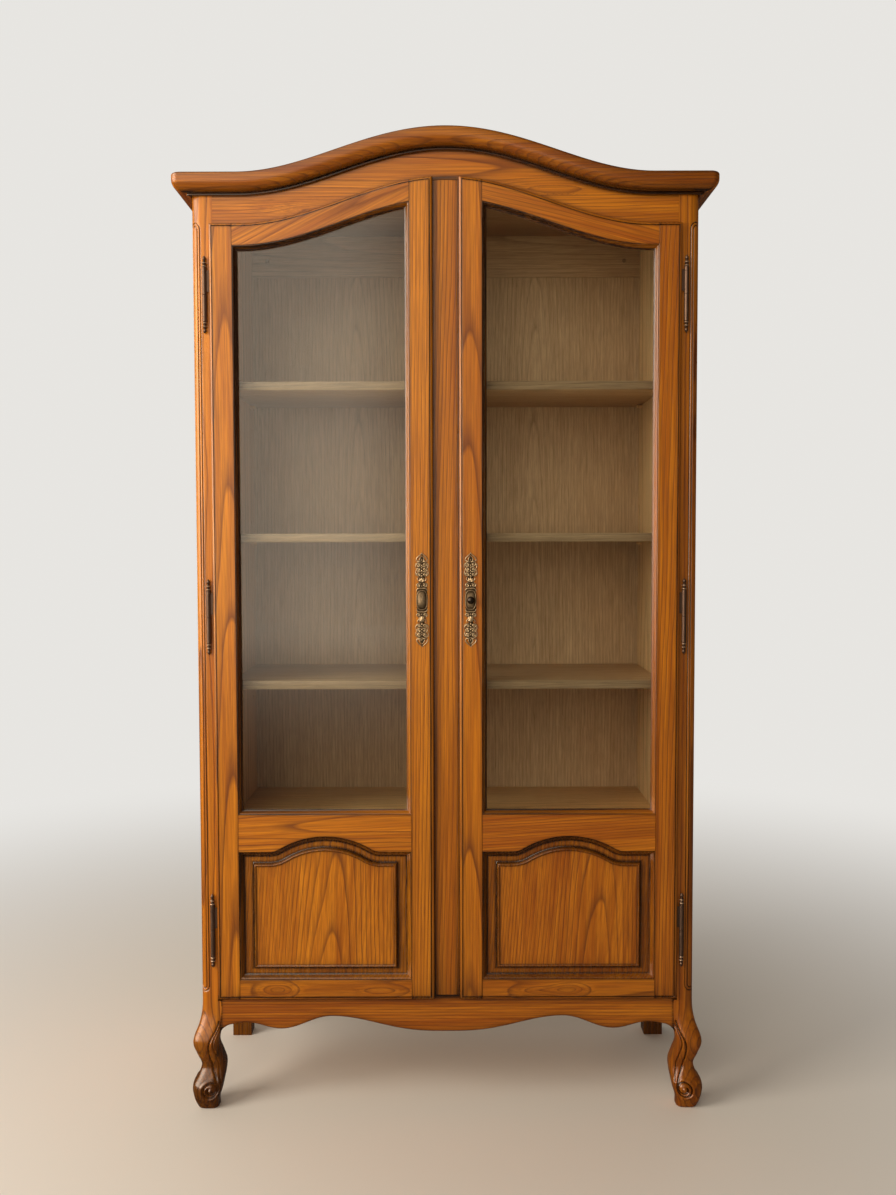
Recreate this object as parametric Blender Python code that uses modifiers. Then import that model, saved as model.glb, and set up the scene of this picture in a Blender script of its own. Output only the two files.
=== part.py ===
"""Two-door glazed display cabinet of stained oak, in metres, +Z up, front towards -Y.

A frame of four posts carries a flat roof behind an arched cornice. Two lipped doors with glass above
and a raised panel below close against a fixed centre post and hang on lift-off barrel hinges. The
right door has a turn knob whose cam swings behind the centre post. Three loose shelves lie on pins.
The origin lies on the floor under the middle of the cabinet.
"""

import math

import bmesh
import bpy
import numpy as np
from mathutils import Matrix, Vector

# Overall sizes
BODY_WIDTH = 1.055
BODY_DEPTH = 0.405
TOTAL_HEIGHT = 2.060
FIT = 0.0003

# Arched cornice
ARCH_RISE = 0.0915
ARCH_SHOULDER = 0.0975
CORNICE_PROJECTION = 0.034
CORNICE_HEIGHT = 0.0415
CORNICE_FILLET = 0.0045
CORNICE_FILLET_STEP = 0.004
CORNICE_ROLL = 0.022
CORNICE_CAP_THICKNESS = 0.008
CORNICE_CAP_REACH = 0.0457
CORNICE_EDGE_RADIUS = 0.005

# Posts and cabriole legs
POST_SIZE = 0.045
POST_CORNER_RADIUS = 0.022
LEG_HEIGHT = 0.232
LEG_ROUNDNESS = 3.2
LEG_BLEND_START = 0.65
# From the floor up: height share of the leg, then swell to the corner and half width as shares of the post.
LEG_PROFILE = (
    (0.00, 0.184, 0.482),
    (0.08, 0.264, 0.571),
    (0.16, 0.244, 0.671),
    (0.24, 0.178, 0.693),
    (0.31, 0.051, 0.629),
    (0.39, -0.024, 0.582),
    (0.50, 0.122, 0.604),
    (0.61, 0.278, 0.609),
    (0.79, 0.078, 0.578),
    (1.00, 0.000, 0.500),
)
VOLUTE_HEIGHT = 0.040
VOLUTE_RADIUS = 0.0205
VOLUTE_BEAD = 0.0024
VOLUTE_TURNS = 1.5
VOLUTE_CLOSING = 0.80
VOLUTE_STEM_TOP = 0.165
VOLUTE_STEM_INSET = 0.0095

# Front frame
FRAME_THICKNESS = 0.022
FRIEZE_FACE = 0.063
DOOR_ARCH_RISE = 0.0955
APRON_TOP = 0.2450
APRON_DROP_CENTRE = 0.0802
APRON_PEAK = 0.0468
APRON_PEAK_SETBACK = 0.2345
APRON_CUSP = 0.0741
APRON_CUSP_SETBACK = 0.1265
APRON_HOLLOW = 0.0601
APRON_HOLLOW_SETBACK = 0.0505
APRON_END = 0.0668
CENTRE_POST_WIDTH = 0.067

# Sides, back and boards
SIDE_PANEL_THICKNESS = 0.010
SIDE_PANEL_RECESS = 0.012
SIDE_RAIL_THICKNESS = 0.022
SIDE_RAIL_RECESS = 0.003
SIDE_RAIL_TOP = 0.300
SIDE_RAIL_HEIGHT = 0.105
SIDE_RAIL_ARCH = 0.025
SIDE_WALL_THICKNESS = 0.0212
SIDE_WALL_SETBACK = 0.025
BACK_RAIL_THICKNESS = 0.025
BACK_TOP_RAIL_HEIGHT = 0.120
BACK_BOTTOM_RAIL_BOTTOM = 0.190
BACK_BOTTOM_RAIL_TOP = 0.300
BACK_PANEL_THICKNESS = 0.010
BACK_PANEL_RECESS = 0.003
BOARD_THICKNESS = 0.018
ROOF_SETDOWN = 0.006
DISPLAY_FLOOR_TOP = 0.617

# Loose shelves on pins
SHELF_TOPS = (0.917, 1.231, 1.551)
SHELF_THICKNESS = 0.018
SHELF_SETBACK = 0.030
SHELF_CLEARANCE = 0.001
PIN_RADIUS = 0.0035
PIN_REACH = 0.012
PIN_FRONT_SETBACK = 0.075
PIN_REAR_SETBACK = 0.315
PIN_PITCH = 0.050
PIN_HOLE_DEPTH = 0.010

# Doors
DOOR_LAP = 0.0065
DOOR_LIP = 0.012
DOOR_TONGUE = 0.010
DOOR_CLEARANCE = 0.002
DOOR_EDGE_RADIUS = 0.004
STILE_FACE = 0.048
TOP_RAIL_FACE = 0.0455
MID_RAIL_TOP = 0.6373
MID_RAIL_FACE = 0.0793
BOTTOM_RAIL_FACE = 0.044
STOP_WIDTH = 0.008
STOP_DEPTH = 0.0065
GLASS_THICKNESS = 0.004
SIGHT_MOULDING = 0.010
SIGHT_RECESS = 0.0006
SIGHT_STEP = 0.0042
SIGHT_FLAT = 0.002
PANEL_ARCH_RISE = 0.0330
PANEL_ARCH_REACH = 0.1185
PANEL_ARCH_TURN = 0.041
PANEL_EDGE = 0.0060
PANEL_FIELD_INSET = 0.0300
PANEL_SIDE_INSET = 0.0357
PANEL_BEAD = 0.0050
PANEL_FIELD_RISE = 0.0072

# Barrel hinges
HINGE_LOWER_RISE = 0.1485
HINGE_UPPER_DROP = 0.1455
KNUCKLE_RADIUS = 0.005
HINGE_GAP = 0.005
KNUCKLE_LENGTH = 0.056
HINGE_FINIAL = 0.024
HINGE_PIN_RADIUS = 0.003
HINGE_PIN_LENGTH = 0.030
HINGE_PIN_CLEARANCE = 0.0003
LEAF_THICKNESS = 0.002
LEAF_DEPTH = 0.018
LEAF_LENGTH = 0.044

# Escutcheons, turn knob and catches
LOCK_HEIGHT = 1.0915
PLATE_LENGTH = 0.200
PLATE_WIDTH = 0.026
PLATE_THICKNESS = 0.002
PLATE_WAIST = 0.44
PLATE_TIP_WIDTH = 0.0008
PIERCING_WIDTH = 0.0062
PIERCING_LENGTH = 0.0088
PIERCING_HEIGHTS = (0.058, 0.072)
BOSS_LENGTH = 0.038
BOSS_WIDTH = 0.020
BOSS_RISE = 0.006
KNOB_RADIUS = 0.0080
KNOB_NECK = 0.003
SPINDLE_RADIUS = 0.004
CAM_LENGTH = 0.034
CAM_WIDTH = 0.014
CAM_THICKNESS = 0.003
CAM_CLEARANCE = 0.0015
CATCH_HEIGHT = 1.480
CATCH_LENGTH = 0.040
CATCH_WIDTH = 0.026
CATCH_DEPTH = 0.014
STRIKE_THICKNESS = 0.0015

# Places worked out from the sizes
HALF_WIDTH = BODY_WIDTH / 2
KNOB_REACH = DOOR_LIP + PLATE_THICKNESS + KNOB_NECK + 2 * KNOB_RADIUS + 3 * FIT
FRONT_REACH = max(CORNICE_PROJECTION, KNOB_REACH)
FRONT = FRONT_REACH - (BODY_DEPTH + FRONT_REACH) / 2
BACK = FRONT + BODY_DEPTH
POST_INNER = HALF_WIDTH - POST_SIZE
ARCH_REACH = HALF_WIDTH - ARCH_SHOULDER
REAR_POST_FRONT = BACK - POST_SIZE
CORNICE_BOTTOM = TOTAL_HEIGHT - ARCH_RISE - CORNICE_HEIGHT
CARCASS_TOP = CORNICE_BOTTOM + CORNICE_HEIGHT - CORNICE_CAP_THICKNESS - FIT
FRIEZE_BOTTOM = CORNICE_BOTTOM - FRIEZE_FACE
ROOF_UNDERSIDE = CARCASS_TOP - ROOF_SETDOWN - BOARD_THICKNESS
BACK_TOP_RAIL_BOTTOM = CARCASS_TOP - BACK_TOP_RAIL_HEIGHT
SIDE_WALL_FACE = POST_INNER - FIT - SIDE_WALL_THICKNESS
FRAME_BACK = FRONT + FRAME_THICKNESS
BACK_PANEL_FRONT = REAR_POST_FRONT + BACK_PANEL_RECESS
DOOR_OUTER = POST_INNER + DOOR_LAP
DOOR_INNER = CENTRE_POST_WIDTH / 2 - DOOR_LAP
DOOR_BOTTOM = APRON_TOP - DOOR_LAP
DOOR_FACE = FRONT - FIT - DOOR_LIP
DOOR_LIP_BACK = FRONT - FIT
DOOR_BACK = FRONT + DOOR_TONGUE
DOOR_STOP = DOOR_BACK - STOP_DEPTH
GLASS_BACK = DOOR_STOP - FIT
GLASS_FRONT = GLASS_BACK - GLASS_THICKNESS
SIGHT_LEFT = DOOR_INNER + STILE_FACE
SIGHT_RIGHT = DOOR_OUTER - STILE_FACE
DOOR_MIDDLE = (DOOR_INNER + DOOR_OUTER) / 2
MID_RAIL_BOTTOM = MID_RAIL_TOP - MID_RAIL_FACE
BOTTOM_RAIL_TOP = DOOR_BOTTOM + BOTTOM_RAIL_FACE
TONGUE_STEP = DOOR_LAP + DOOR_CLEARANCE
HINGE_X = DOOR_OUTER + HINGE_GAP + KNUCKLE_RADIUS
HINGE_Y = FRONT - FIT - KNUCKLE_RADIUS
HINGE_LOWER = DOOR_BOTTOM + HINGE_LOWER_RISE
HINGE_UPPER = FRIEZE_BOTTOM + DOOR_LAP - HINGE_UPPER_DROP
HINGE_SPLITS = (HINGE_LOWER, (HINGE_LOWER + HINGE_UPPER) / 2, HINGE_UPPER)
LOCK_X = DOOR_INNER + STILE_FACE / 2
CUT = 0.010

SIDES = (("left", -1), ("right", 1))


def start_scene():
    """Empties the scene and makes one collection for the cabinet and one for its cutters."""
    for obj in list(bpy.data.objects):
        bpy.data.objects.remove(obj, do_unlink=True)
    made = []
    for name in ("display_cabinet", "cutters"):
        collection = bpy.data.collections.new(name)
        bpy.context.scene.collection.children.link(collection)
        made.append(collection)
    return made


PARTS, CUTTERS = start_scene()


def finish(name, colour, roughness, metallic=0.0):
    """A Principled material of one plain finish."""
    material = bpy.data.materials.new(name)
    material.use_nodes = True
    shader = material.node_tree.nodes["Principled BSDF"]
    shader.inputs["Base Color"].default_value = (*colour, 1.0)
    shader.inputs["Roughness"].default_value = roughness
    shader.inputs["Metallic"].default_value = metallic
    return material


OAK = ("stained_oak", (0.45, 0.19, 0.05), 0.42, 0.0)
PALE_OAK = ("pale_oak", (0.30, 0.21, 0.12), 0.60, 0.0)
GLASS = ("clear_glass", (0.80, 0.84, 0.80), 0.05, 0.0)
BRASS = ("antique_brass", (0.36, 0.25, 0.12), 0.40, 0.9)
BRONZE = ("dark_bronze", (0.07, 0.045, 0.03), 0.38, 0.9)


def add_object(name, mesh, look):
    """Links a mesh as a sub-part with its own material, or as a hidden cutter where look is None."""
    obj = bpy.data.objects.new(name, mesh)
    if look is None:
        CUTTERS.objects.link(obj)
        obj.hide_render = True
        obj.display_type = "WIRE"
    else:
        PARTS.objects.link(obj)
        base, colour, roughness, metallic = look
        obj.data.materials.append(finish(f"{base}_{name}", colour, roughness, metallic))
    return obj


def mesh_from(bm, name):
    bmesh.ops.recalc_face_normals(bm, faces=bm.faces)
    mesh = bpy.data.meshes.new(name)
    bm.to_mesh(mesh)
    bm.free()
    return mesh


def loft(name, rings, look, looped=False):
    """A solid skinned over rings of equal point count, capped at both ends or looped round on itself."""
    bm = bmesh.new()
    rows = [[bm.verts.new(point) for point in ring] for ring in rings]
    pairs = list(zip(rows, rows[1:]))
    if looped:
        pairs.append((rows[-1], rows[0]))
    else:
        bm.faces.new(rows[0])
        bm.faces.new(rows[-1])
    count = len(rows[0])
    for low, high in pairs:
        for i in range(count):
            j = (i + 1) % count
            bm.faces.new((low[i], low[j], high[j], high[i]))
    return add_object(name, mesh_from(bm, name), look)


def box(name, low, high, look):
    """A block between two corners."""
    bm = bmesh.new()
    low, high = Vector(low), Vector(high)
    bmesh.ops.create_cube(bm, size=1.0)
    bmesh.ops.scale(bm, vec=high - low, verts=bm.verts)
    bmesh.ops.translate(bm, vec=(low + high) / 2, verts=bm.verts)
    return add_object(name, mesh_from(bm, name), look)


def mirrored_box(name, side, low, high, look):
    """A block given for the right half, mirrored to the left half where side is -1."""
    xs = sorted((side * low[0], side * high[0]))
    return box(name, (xs[0], low[1], low[2]), (xs[1], high[1], high[2]), look)


def rods(name, radius, spans, look, sides=10):
    """Separate round rods, each from one point to another, in one mesh."""
    bm = bmesh.new()
    for start, end in spans:
        start, end = Vector(start), Vector(end)
        turn = Vector((0, 0, 1)).rotation_difference(end - start).to_matrix().to_4x4()
        bmesh.ops.create_cone(
            bm,
            cap_ends=True,
            segments=sides,
            radius1=radius,
            radius2=radius,
            depth=(end - start).length,
            matrix=Matrix.Translation((start + end) / 2) @ turn,
        )
    return add_object(name, mesh_from(bm, name), look)


def boolean(obj, tool, operation):
    """A live Boolean modifier that cuts obj with the tool or joins the tool to it."""
    modifier = obj.modifiers.new(f"{operation.lower()}_{tool.name}", "BOOLEAN")
    modifier.object = tool
    modifier.operation = operation
    modifier.solver = "EXACT"


def turned(name, profile, look, steps=10):
    """A solid turned about its own Z axis from (radius, height) points that run from top to bottom."""
    mesh = bpy.data.meshes.new(name)
    points = [(radius, 0.0, height) for radius, height in profile]
    mesh.from_pydata(points, [(i, i + 1) for i in range(len(points) - 1)], [])
    obj = add_object(name, mesh, look)
    screw = obj.modifiers.new("turn", "SCREW")
    screw.steps = steps
    screw.render_steps = steps
    screw.use_merge_vertices = True
    screw.merge_threshold = 0.00001
    screw.use_smooth_shade = True
    return obj


def arc(centre, radii, start, end, count):
    """Points on an elliptical arc between two angles in degrees."""
    angles = np.radians(np.linspace(start, end, count))
    return [(centre[0] + radii[0] * math.cos(a), centre[1] + radii[1] * math.sin(a)) for a in angles]


def wave(x, rise):
    """Rise of an arched line at x: one wave of a cosine, flat beyond its reach."""
    reach = min(abs(x), ARCH_REACH) / ARCH_REACH
    return rise * (1 + math.cos(math.pi * reach)) / 2


def arch(x):
    return wave(x, ARCH_RISE)


def arch_slope(x):
    if abs(x) >= ARCH_REACH:
        return 0.0
    return -ARCH_RISE * math.pi / (2 * ARCH_REACH) * math.sin(math.pi * x / ARCH_REACH)


def frieze_bottom(x):
    return FRIEZE_BOTTOM + wave(x, DOOR_ARCH_RISE)


def apron_drop(x):
    """Depth of the apron below its top at x: cosine waves between its drops, peaks and cusps."""
    knots = (
        (0.0, APRON_DROP_CENTRE),
        (POST_INNER - APRON_PEAK_SETBACK, APRON_PEAK),
        (POST_INNER - APRON_CUSP_SETBACK, APRON_CUSP),
        (POST_INNER - APRON_HOLLOW_SETBACK, APRON_HOLLOW),
        (POST_INNER, APRON_END),
    )
    for (x0, d0), (x1, d1) in zip(knots, knots[1:]):
        if abs(x) <= x1:
            wave = (1 - math.cos(math.pi * (abs(x) - x0) / (x1 - x0))) / 2
            return d0 + (d1 - d0) * (wave**1.5 if x0 == 0.0 else wave)
    return APRON_END


def cornice_profile():
    """The cornice's section as (projection, height): fillet, ovolo, upright edge and a cap behind."""
    nose = CORNICE_PROJECTION
    roll_top = CORNICE_FILLET + CORNICE_ROLL
    edge = CORNICE_EDGE_RADIUS
    cap_under = CORNICE_HEIGHT - CORNICE_CAP_THICKNESS
    fillet = nose - CORNICE_ROLL - CORNICE_FILLET_STEP
    points = [(FIT, 0.0), (fillet, 0.0), (fillet, CORNICE_FILLET)]
    points += arc((nose - CORNICE_ROLL, roll_top), (CORNICE_ROLL, CORNICE_ROLL), -90, 0, 7)
    points += arc((nose - edge, CORNICE_HEIGHT - edge), (edge, edge), 0, 90, 3)
    points += [(-CORNICE_CAP_REACH, CORNICE_HEIGHT), (-CORNICE_CAP_REACH, cap_under), (FIT, cap_under)]
    return points


def make_cornice():
    """The arched front cornice, mitred at both ends to straight returns along the sides."""
    profile = cornice_profile()
    rings = []
    for x in [-HALF_WIDTH, *np.linspace(-ARCH_REACH, ARCH_REACH, 33), HALF_WIDTH]:
        slope = arch_slope(x)
        length = math.hypot(1.0, slope)
        ring = []
        for p, h in profile:
            z = CORNICE_BOTTOM + arch(x) + h / length
            px = x - h * slope / length
            if abs(x) >= HALF_WIDTH:
                px = math.copysign(HALF_WIDTH + p - FIT, x)
            ring.append((px, FRONT - p, z))
        rings.append(ring)
    loft("front_cornice", rings, OAK)
    for name, side in SIDES:
        front = [(side * (HALF_WIDTH + p), FRONT - p + FIT, CORNICE_BOTTOM + h) for p, h in profile]
        rear = [(side * (HALF_WIDTH + p), BACK, CORNICE_BOTTOM + h) for p, h in profile]
        loft(f"{name}_cornice", [front, rear], OAK)


LEG_TURNS = 24


def leg_at(z):
    """Swell and half width of the leg at a height, on smooth curves through its profile."""
    shares = [level[0] for level in LEG_PROFILE]
    share = min(z / LEG_HEIGHT, 1.0)
    i = min(np.searchsorted(shares, share, side="right"), len(shares) - 1) - 1
    span = shares[i + 1] - shares[i]
    t = (share - shares[i]) / span
    found = []
    for column in (1, 2):
        values = [level[column] for level in LEG_PROFILE]
        grades = np.gradient(values, shares)
        grades[-1] = 0.0
        found.append(
            (1 + 2 * t) * (1 - t) ** 2 * values[i]
            + t * (1 - t) ** 2 * span * grades[i]
            + t**2 * (3 - 2 * t) * values[i + 1]
            + t**2 * (t - 1) * span * grades[i + 1]
        )
    return found[0] * POST_SIZE, found[1] * POST_SIZE


def post_reach(angle):
    """Distance from the post's middle to its outline: a square with its front outer corner rounded."""
    half = POST_SIZE / 2
    across = half / max(abs(math.cos(angle)), abs(math.sin(angle)))
    corner = half - POST_CORNER_RADIUS
    if min(math.cos(angle), -math.sin(angle)) * across <= corner:
        return across
    along = corner * (math.cos(angle) - math.sin(angle))
    return along + math.sqrt(POST_CORNER_RADIUS**2 + along**2 - 2 * corner**2)


def leg_reach(angle, size):
    """Distance from the leg's middle to its outline, a square with well rounded corners."""
    across = abs(math.cos(angle)) ** LEG_ROUNDNESS + abs(math.sin(angle)) ** LEG_ROUNDNESS
    return size / across ** (1 / LEG_ROUNDNESS)


def leg_ring(z, side):
    """One level of the front post: the leg's section below, easing into the post's section above."""
    swell, size = leg_at(z)
    blend = min(max((z / LEG_HEIGHT - LEG_BLEND_START) / (1 - LEG_BLEND_START), 0.0), 1.0)
    blend = (1 - math.cos(math.pi * blend)) / 2
    ring = []
    for k in range(LEG_TURNS):
        angle = 2 * math.pi * k / LEG_TURNS
        reach = blend * post_reach(angle) + (1 - blend) * leg_reach(angle, size)
        x = HALF_WIDTH - POST_SIZE / 2 + swell + reach * math.cos(angle)
        y = FRONT + POST_SIZE / 2 - swell + reach * math.sin(angle)
        ring.append((side * x, y, z))
    return ring


def leg_face_point(outward, z, side, face):
    """A point on the leg's front or side face, at a distance outwards from the middle of that face."""
    swell, size = leg_at(z)
    share = min(abs(outward) / size, 1.0)
    depth = size * (1 - share**LEG_ROUNDNESS) ** (1 / LEG_ROUNDNESS)
    along, proud = (outward, depth) if face == "front" else (depth, outward)
    x = HALF_WIDTH - POST_SIZE / 2 + swell + along
    y = FRONT + POST_SIZE / 2 - swell - proud
    return side * x, y, z


def volute_path(side, face):
    """The bead on one face of the leg: down its inner edge, then round the scroll to the eye."""
    points = []
    for z in np.linspace(VOLUTE_STEM_TOP, VOLUTE_HEIGHT + VOLUTE_RADIUS, 6):
        points.append(leg_face_point(VOLUTE_STEM_INSET - leg_at(z)[1], z, side, face))
    steps = 18
    for k in range(steps + 1):
        turn = 2 * math.pi * VOLUTE_TURNS * k / steps
        radius = VOLUTE_RADIUS * (1 - VOLUTE_CLOSING * k / steps)
        z = VOLUTE_HEIGHT - radius * math.sin(turn)
        points.append(leg_face_point(-radius * math.cos(turn), z, side, face))
    return points


def tube(name, points, radius):
    """A round bead along a path, made a closed mesh so that it can be joined to a solid."""
    curve = bpy.data.curves.new(name, "CURVE")
    curve.dimensions = "3D"
    curve.bevel_depth = radius
    curve.bevel_resolution = 1
    curve.use_fill_caps = True
    spline = curve.splines.new("POLY")
    spline.points.add(len(points) - 1)
    for place, point in zip(spline.points, points):
        place.co = (*point, 1.0)
    return curve_solid(name, curve, None)


def curve_solid(name, curve, look):
    """The closed mesh of a curve, with its loose caps welded."""
    guide = bpy.data.objects.new(f"{name}_curve", curve)
    CUTTERS.objects.link(guide)
    bpy.context.view_layer.update()
    graph = bpy.context.evaluated_depsgraph_get()
    mesh = bpy.data.meshes.new_from_object(guide.evaluated_get(graph))
    mesh.name = name
    bm = bmesh.new()
    bm.from_mesh(mesh)
    bmesh.ops.remove_doubles(bm, verts=bm.verts, dist=0.000001)
    bmesh.ops.recalc_face_normals(bm, faces=bm.faces)
    bm.to_mesh(mesh)
    bm.free()
    mesh.materials.clear()
    bpy.data.objects.remove(guide, do_unlink=True)
    return add_object(name, mesh, look)


def make_front_posts():
    """Front posts with a rounded outer corner, each carved below into a cabriole leg with volutes."""
    levels = [*np.linspace(0.0, LEG_HEIGHT, 19), CARCASS_TOP - FIT]
    for name, side in SIDES:
        post = loft(f"{name}_front_post", [leg_ring(z, side) for z in levels], OAK)
        for face in ("front", "side"):
            bead = tube(f"{name}_{face}_volute", volute_path(side, face), VOLUTE_BEAD)
            boolean(post, bead, "UNION")
        for split in HINGE_SPLITS:
            slot = leaf_box(f"{name}_post_slot", side, split, FIT, None)
            boolean(post, slot, "DIFFERENCE")


def leaf_box(name, side, split, spare, look):
    """The lower hinge leaf, which runs back from the knuckle into the post, grown by a spare gap."""
    half = LEAF_THICKNESS / 2 + spare
    middle = split - KNUCKLE_LENGTH / 2
    low = (HINGE_X - half, HINGE_Y, middle - LEAF_LENGTH / 2 - spare)
    high = (HINGE_X + half, FRONT + LEAF_DEPTH + spare, middle + LEAF_LENGTH / 2 + spare)
    return mirrored_box(name, side, low, high, look)


def door_leaf_box(name, side, split, start, spare, look):
    """The upper hinge leaf, which runs from the knuckle into the door's edge, grown by a spare gap."""
    half = LEAF_THICKNESS / 2 + spare
    middle = split + KNUCKLE_LENGTH / 2
    low = (DOOR_OUTER - LEAF_DEPTH - spare, HINGE_Y - half, middle - LEAF_LENGTH / 2 - spare)
    high = (start, HINGE_Y + half, middle + LEAF_LENGTH / 2 + spare)
    return mirrored_box(name, side, low, high, look)


def make_rear_posts():
    for name, side in SIDES:
        low = (POST_INNER, REAR_POST_FRONT, 0.0)
        high = (HALF_WIDTH, BACK, CARCASS_TOP - FIT)
        mirrored_box(f"{name}_rear_post", side, low, high, OAK)


def make_sides():
    """Recessed side panels over an arched lower rail, and the inner walls that carry the shelf pins."""
    front, rear = FRONT + POST_SIZE + FIT, REAR_POST_FRONT - FIT
    for name, side in SIDES:
        face = HALF_WIDTH - SIDE_PANEL_RECESS
        low = (face - SIDE_PANEL_THICKNESS, front, SIDE_RAIL_TOP + FIT)
        mirrored_box(f"{name}_side_panel", side, low, (face, rear, CARCASS_TOP - FIT), OAK)
        face = HALF_WIDTH - SIDE_RAIL_RECESS
        rings = []
        for share in np.linspace(0.0, 1.0, 13):
            y = front + (rear - front) * share
            low_z = SIDE_RAIL_TOP - SIDE_RAIL_HEIGHT + SIDE_RAIL_ARCH * math.sin(math.pi * share) ** 2
            inner = face - SIDE_RAIL_THICKNESS
            ring = [(face, low_z), (face, SIDE_RAIL_TOP), (inner, SIDE_RAIL_TOP), (inner, low_z)]
            rings.append([(side * x, y, z) for x, z in ring])
        loft(f"{name}_side_rail", rings, OAK)
        low = (SIDE_WALL_FACE, FRONT + SIDE_WALL_SETBACK, APRON_TOP + FIT)
        high = (POST_INNER - FIT, REAR_POST_FRONT - FIT, ROOF_UNDERSIDE - FIT)
        wall = mirrored_box(f"{name}_side_wall", side, low, high, PALE_OAK)
        pins, holes = [], []
        for top in SHELF_TOPS:
            height = top - SHELF_THICKNESS - FIT - PIN_RADIUS
            for setback in (PIN_FRONT_SETBACK, PIN_REAR_SETBACK):
                y = FRONT + setback
                start = side * (SIDE_WALL_FACE + PIN_REACH / 2)
                pins.append(((start, y, height), (side * (SIDE_WALL_FACE - PIN_REACH), y, height)))
                for step in (-PIN_PITCH, PIN_PITCH):
                    mouth = (side * (SIDE_WALL_FACE - FIT), y, height + step)
                    bottom = (side * (SIDE_WALL_FACE + PIN_HOLE_DEPTH), y, height + step)
                    holes.append((mouth, bottom))
        boolean(wall, rods(f"{name}_pins", PIN_RADIUS, pins, None), "UNION")
        boolean(wall, rods(f"{name}_pin_holes", PIN_RADIUS, holes, None, sides=8), "DIFFERENCE")


def make_back():
    """The plain back panel between a top and a bottom rail."""
    reach = POST_INNER - FIT
    rail_front, rail_back = REAR_POST_FRONT, REAR_POST_FRONT + BACK_RAIL_THICKNESS
    rails = (
        ("back_top_rail", BACK_TOP_RAIL_BOTTOM, CARCASS_TOP - FIT),
        ("back_bottom_rail", BACK_BOTTOM_RAIL_BOTTOM, BACK_BOTTOM_RAIL_TOP),
    )
    for name, low, high in rails:
        box(name, (-reach, rail_front, low), (reach, rail_back, high), PALE_OAK)
    low = (-reach, BACK_PANEL_FRONT, BACK_BOTTOM_RAIL_TOP + FIT)
    high = (reach, BACK_PANEL_FRONT + BACK_PANEL_THICKNESS, BACK_TOP_RAIL_BOTTOM - FIT)
    box("back_panel", low, high, PALE_OAK)


def make_boards():
    """The bottom board, the fixed display floor behind the middle rails, and the flat roof."""
    rear = REAR_POST_FRONT - FIT
    reach = POST_INNER - FIT
    front = FRAME_BACK + FIT
    box("bottom_board", (-reach, front, APRON_TOP - BOARD_THICKNESS), (reach, rear, APRON_TOP), PALE_OAK)
    box("roof_board", (-reach, front, ROOF_UNDERSIDE), (reach, rear, ROOF_UNDERSIDE + BOARD_THICKNESS), OAK)
    inner = SIDE_WALL_FACE - FIT
    low = (-inner, FRONT + SHELF_SETBACK, DISPLAY_FLOOR_TOP - BOARD_THICKNESS)
    box("display_floor", low, (inner, rear, DISPLAY_FLOOR_TOP), PALE_OAK)


def make_shelves():
    """Three loose shelves, each resting on four pins."""
    inner = SIDE_WALL_FACE - SHELF_CLEARANCE
    rear = REAR_POST_FRONT - SHELF_CLEARANCE
    for word, top in zip(("lower", "middle", "upper"), SHELF_TOPS):
        low = (-inner, FRONT + SHELF_SETBACK, top - SHELF_THICKNESS)
        box(f"{word}_shelf", low, (inner, rear, top), PALE_OAK)


def make_front_frame():
    """The arched frieze, the scalloped apron and the fixed post that both doors close against."""
    reach = POST_INNER - FIT
    stations = np.linspace(-reach, reach, 37)

    def bar(name, low_at, high_at, places):
        rings = []
        for x in places:
            low, high = low_at(x), high_at(x)
            corners = ((FRONT, low), (FRAME_BACK, low), (FRAME_BACK, high), (FRONT, high))
            rings.append([(x, y, z) for y, z in corners])
        loft(name, rings, OAK)

    cap_under = CARCASS_TOP - 2 * FIT
    bar("front_frieze", frieze_bottom, lambda x: cap_under + arch(x), stations)
    bar("front_apron", lambda x: APRON_TOP - apron_drop(x), lambda x: APRON_TOP, stations)
    half = CENTRE_POST_WIDTH / 2
    bar(
        "centre_post",
        lambda x: APRON_TOP + FIT,
        lambda x: frieze_bottom(x) - FIT,
        np.linspace(-half, half, 5),
    )


def door_top(x):
    return frieze_bottom(x) + DOOR_LAP


def stile(name, side, edge, inward):
    """A door stile: lipped at its outer edge, with a stop behind its inner edge, cut to the arch above."""
    corner = arc(
        (edge + inward * DOOR_EDGE_RADIUS, DOOR_FACE + DOOR_EDGE_RADIUS),
        (-inward * DOOR_EDGE_RADIUS, -DOOR_EDGE_RADIUS),
        0,
        90,
        4,
    )
    inner = edge + inward * STILE_FACE
    section = [(edge, DOOR_LIP_BACK)] + corner
    section += [(inner, DOOR_FACE), (inner, DOOR_STOP)]
    section += [(inner + inward * STOP_WIDTH, DOOR_STOP), (inner + inward * STOP_WIDTH, DOOR_BACK)]
    section += [(edge + inward * TONGUE_STEP, DOOR_BACK), (edge + inward * TONGUE_STEP, DOOR_LIP_BACK)]
    rings = [[(side * x, y, z) for x, y in section] for z in (DOOR_BOTTOM, TOTAL_HEIGHT)]
    return loft(name, rings, OAK)


def door_head(name, side, front, drop):
    """A cutter over the door, bent to its arched top and moved down by a drop, from a front plane back."""
    rings = []
    for x in np.linspace(DOOR_INNER - CUT, DOOR_OUTER + CUT, 31):
        low, high = door_top(x) - drop, TOTAL_HEIGHT + CUT
        corners = ((front, low), (DOOR_BACK + CUT, low), (DOOR_BACK + CUT, high), (front, high))
        rings.append([(side * x, y, z) for y, z in corners])
    return loft(name, rings, None)


def rail(name, side, section_at, count=21):
    """A door rail between the stiles, from a section of (y, z) points at each place along it."""
    rings = []
    for x in np.linspace(SIGHT_LEFT + FIT, SIGHT_RIGHT - FIT, count):
        rings.append([(side * x, y, z) for y, z in section_at(x)])
    return loft(name, rings, OAK)


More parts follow.
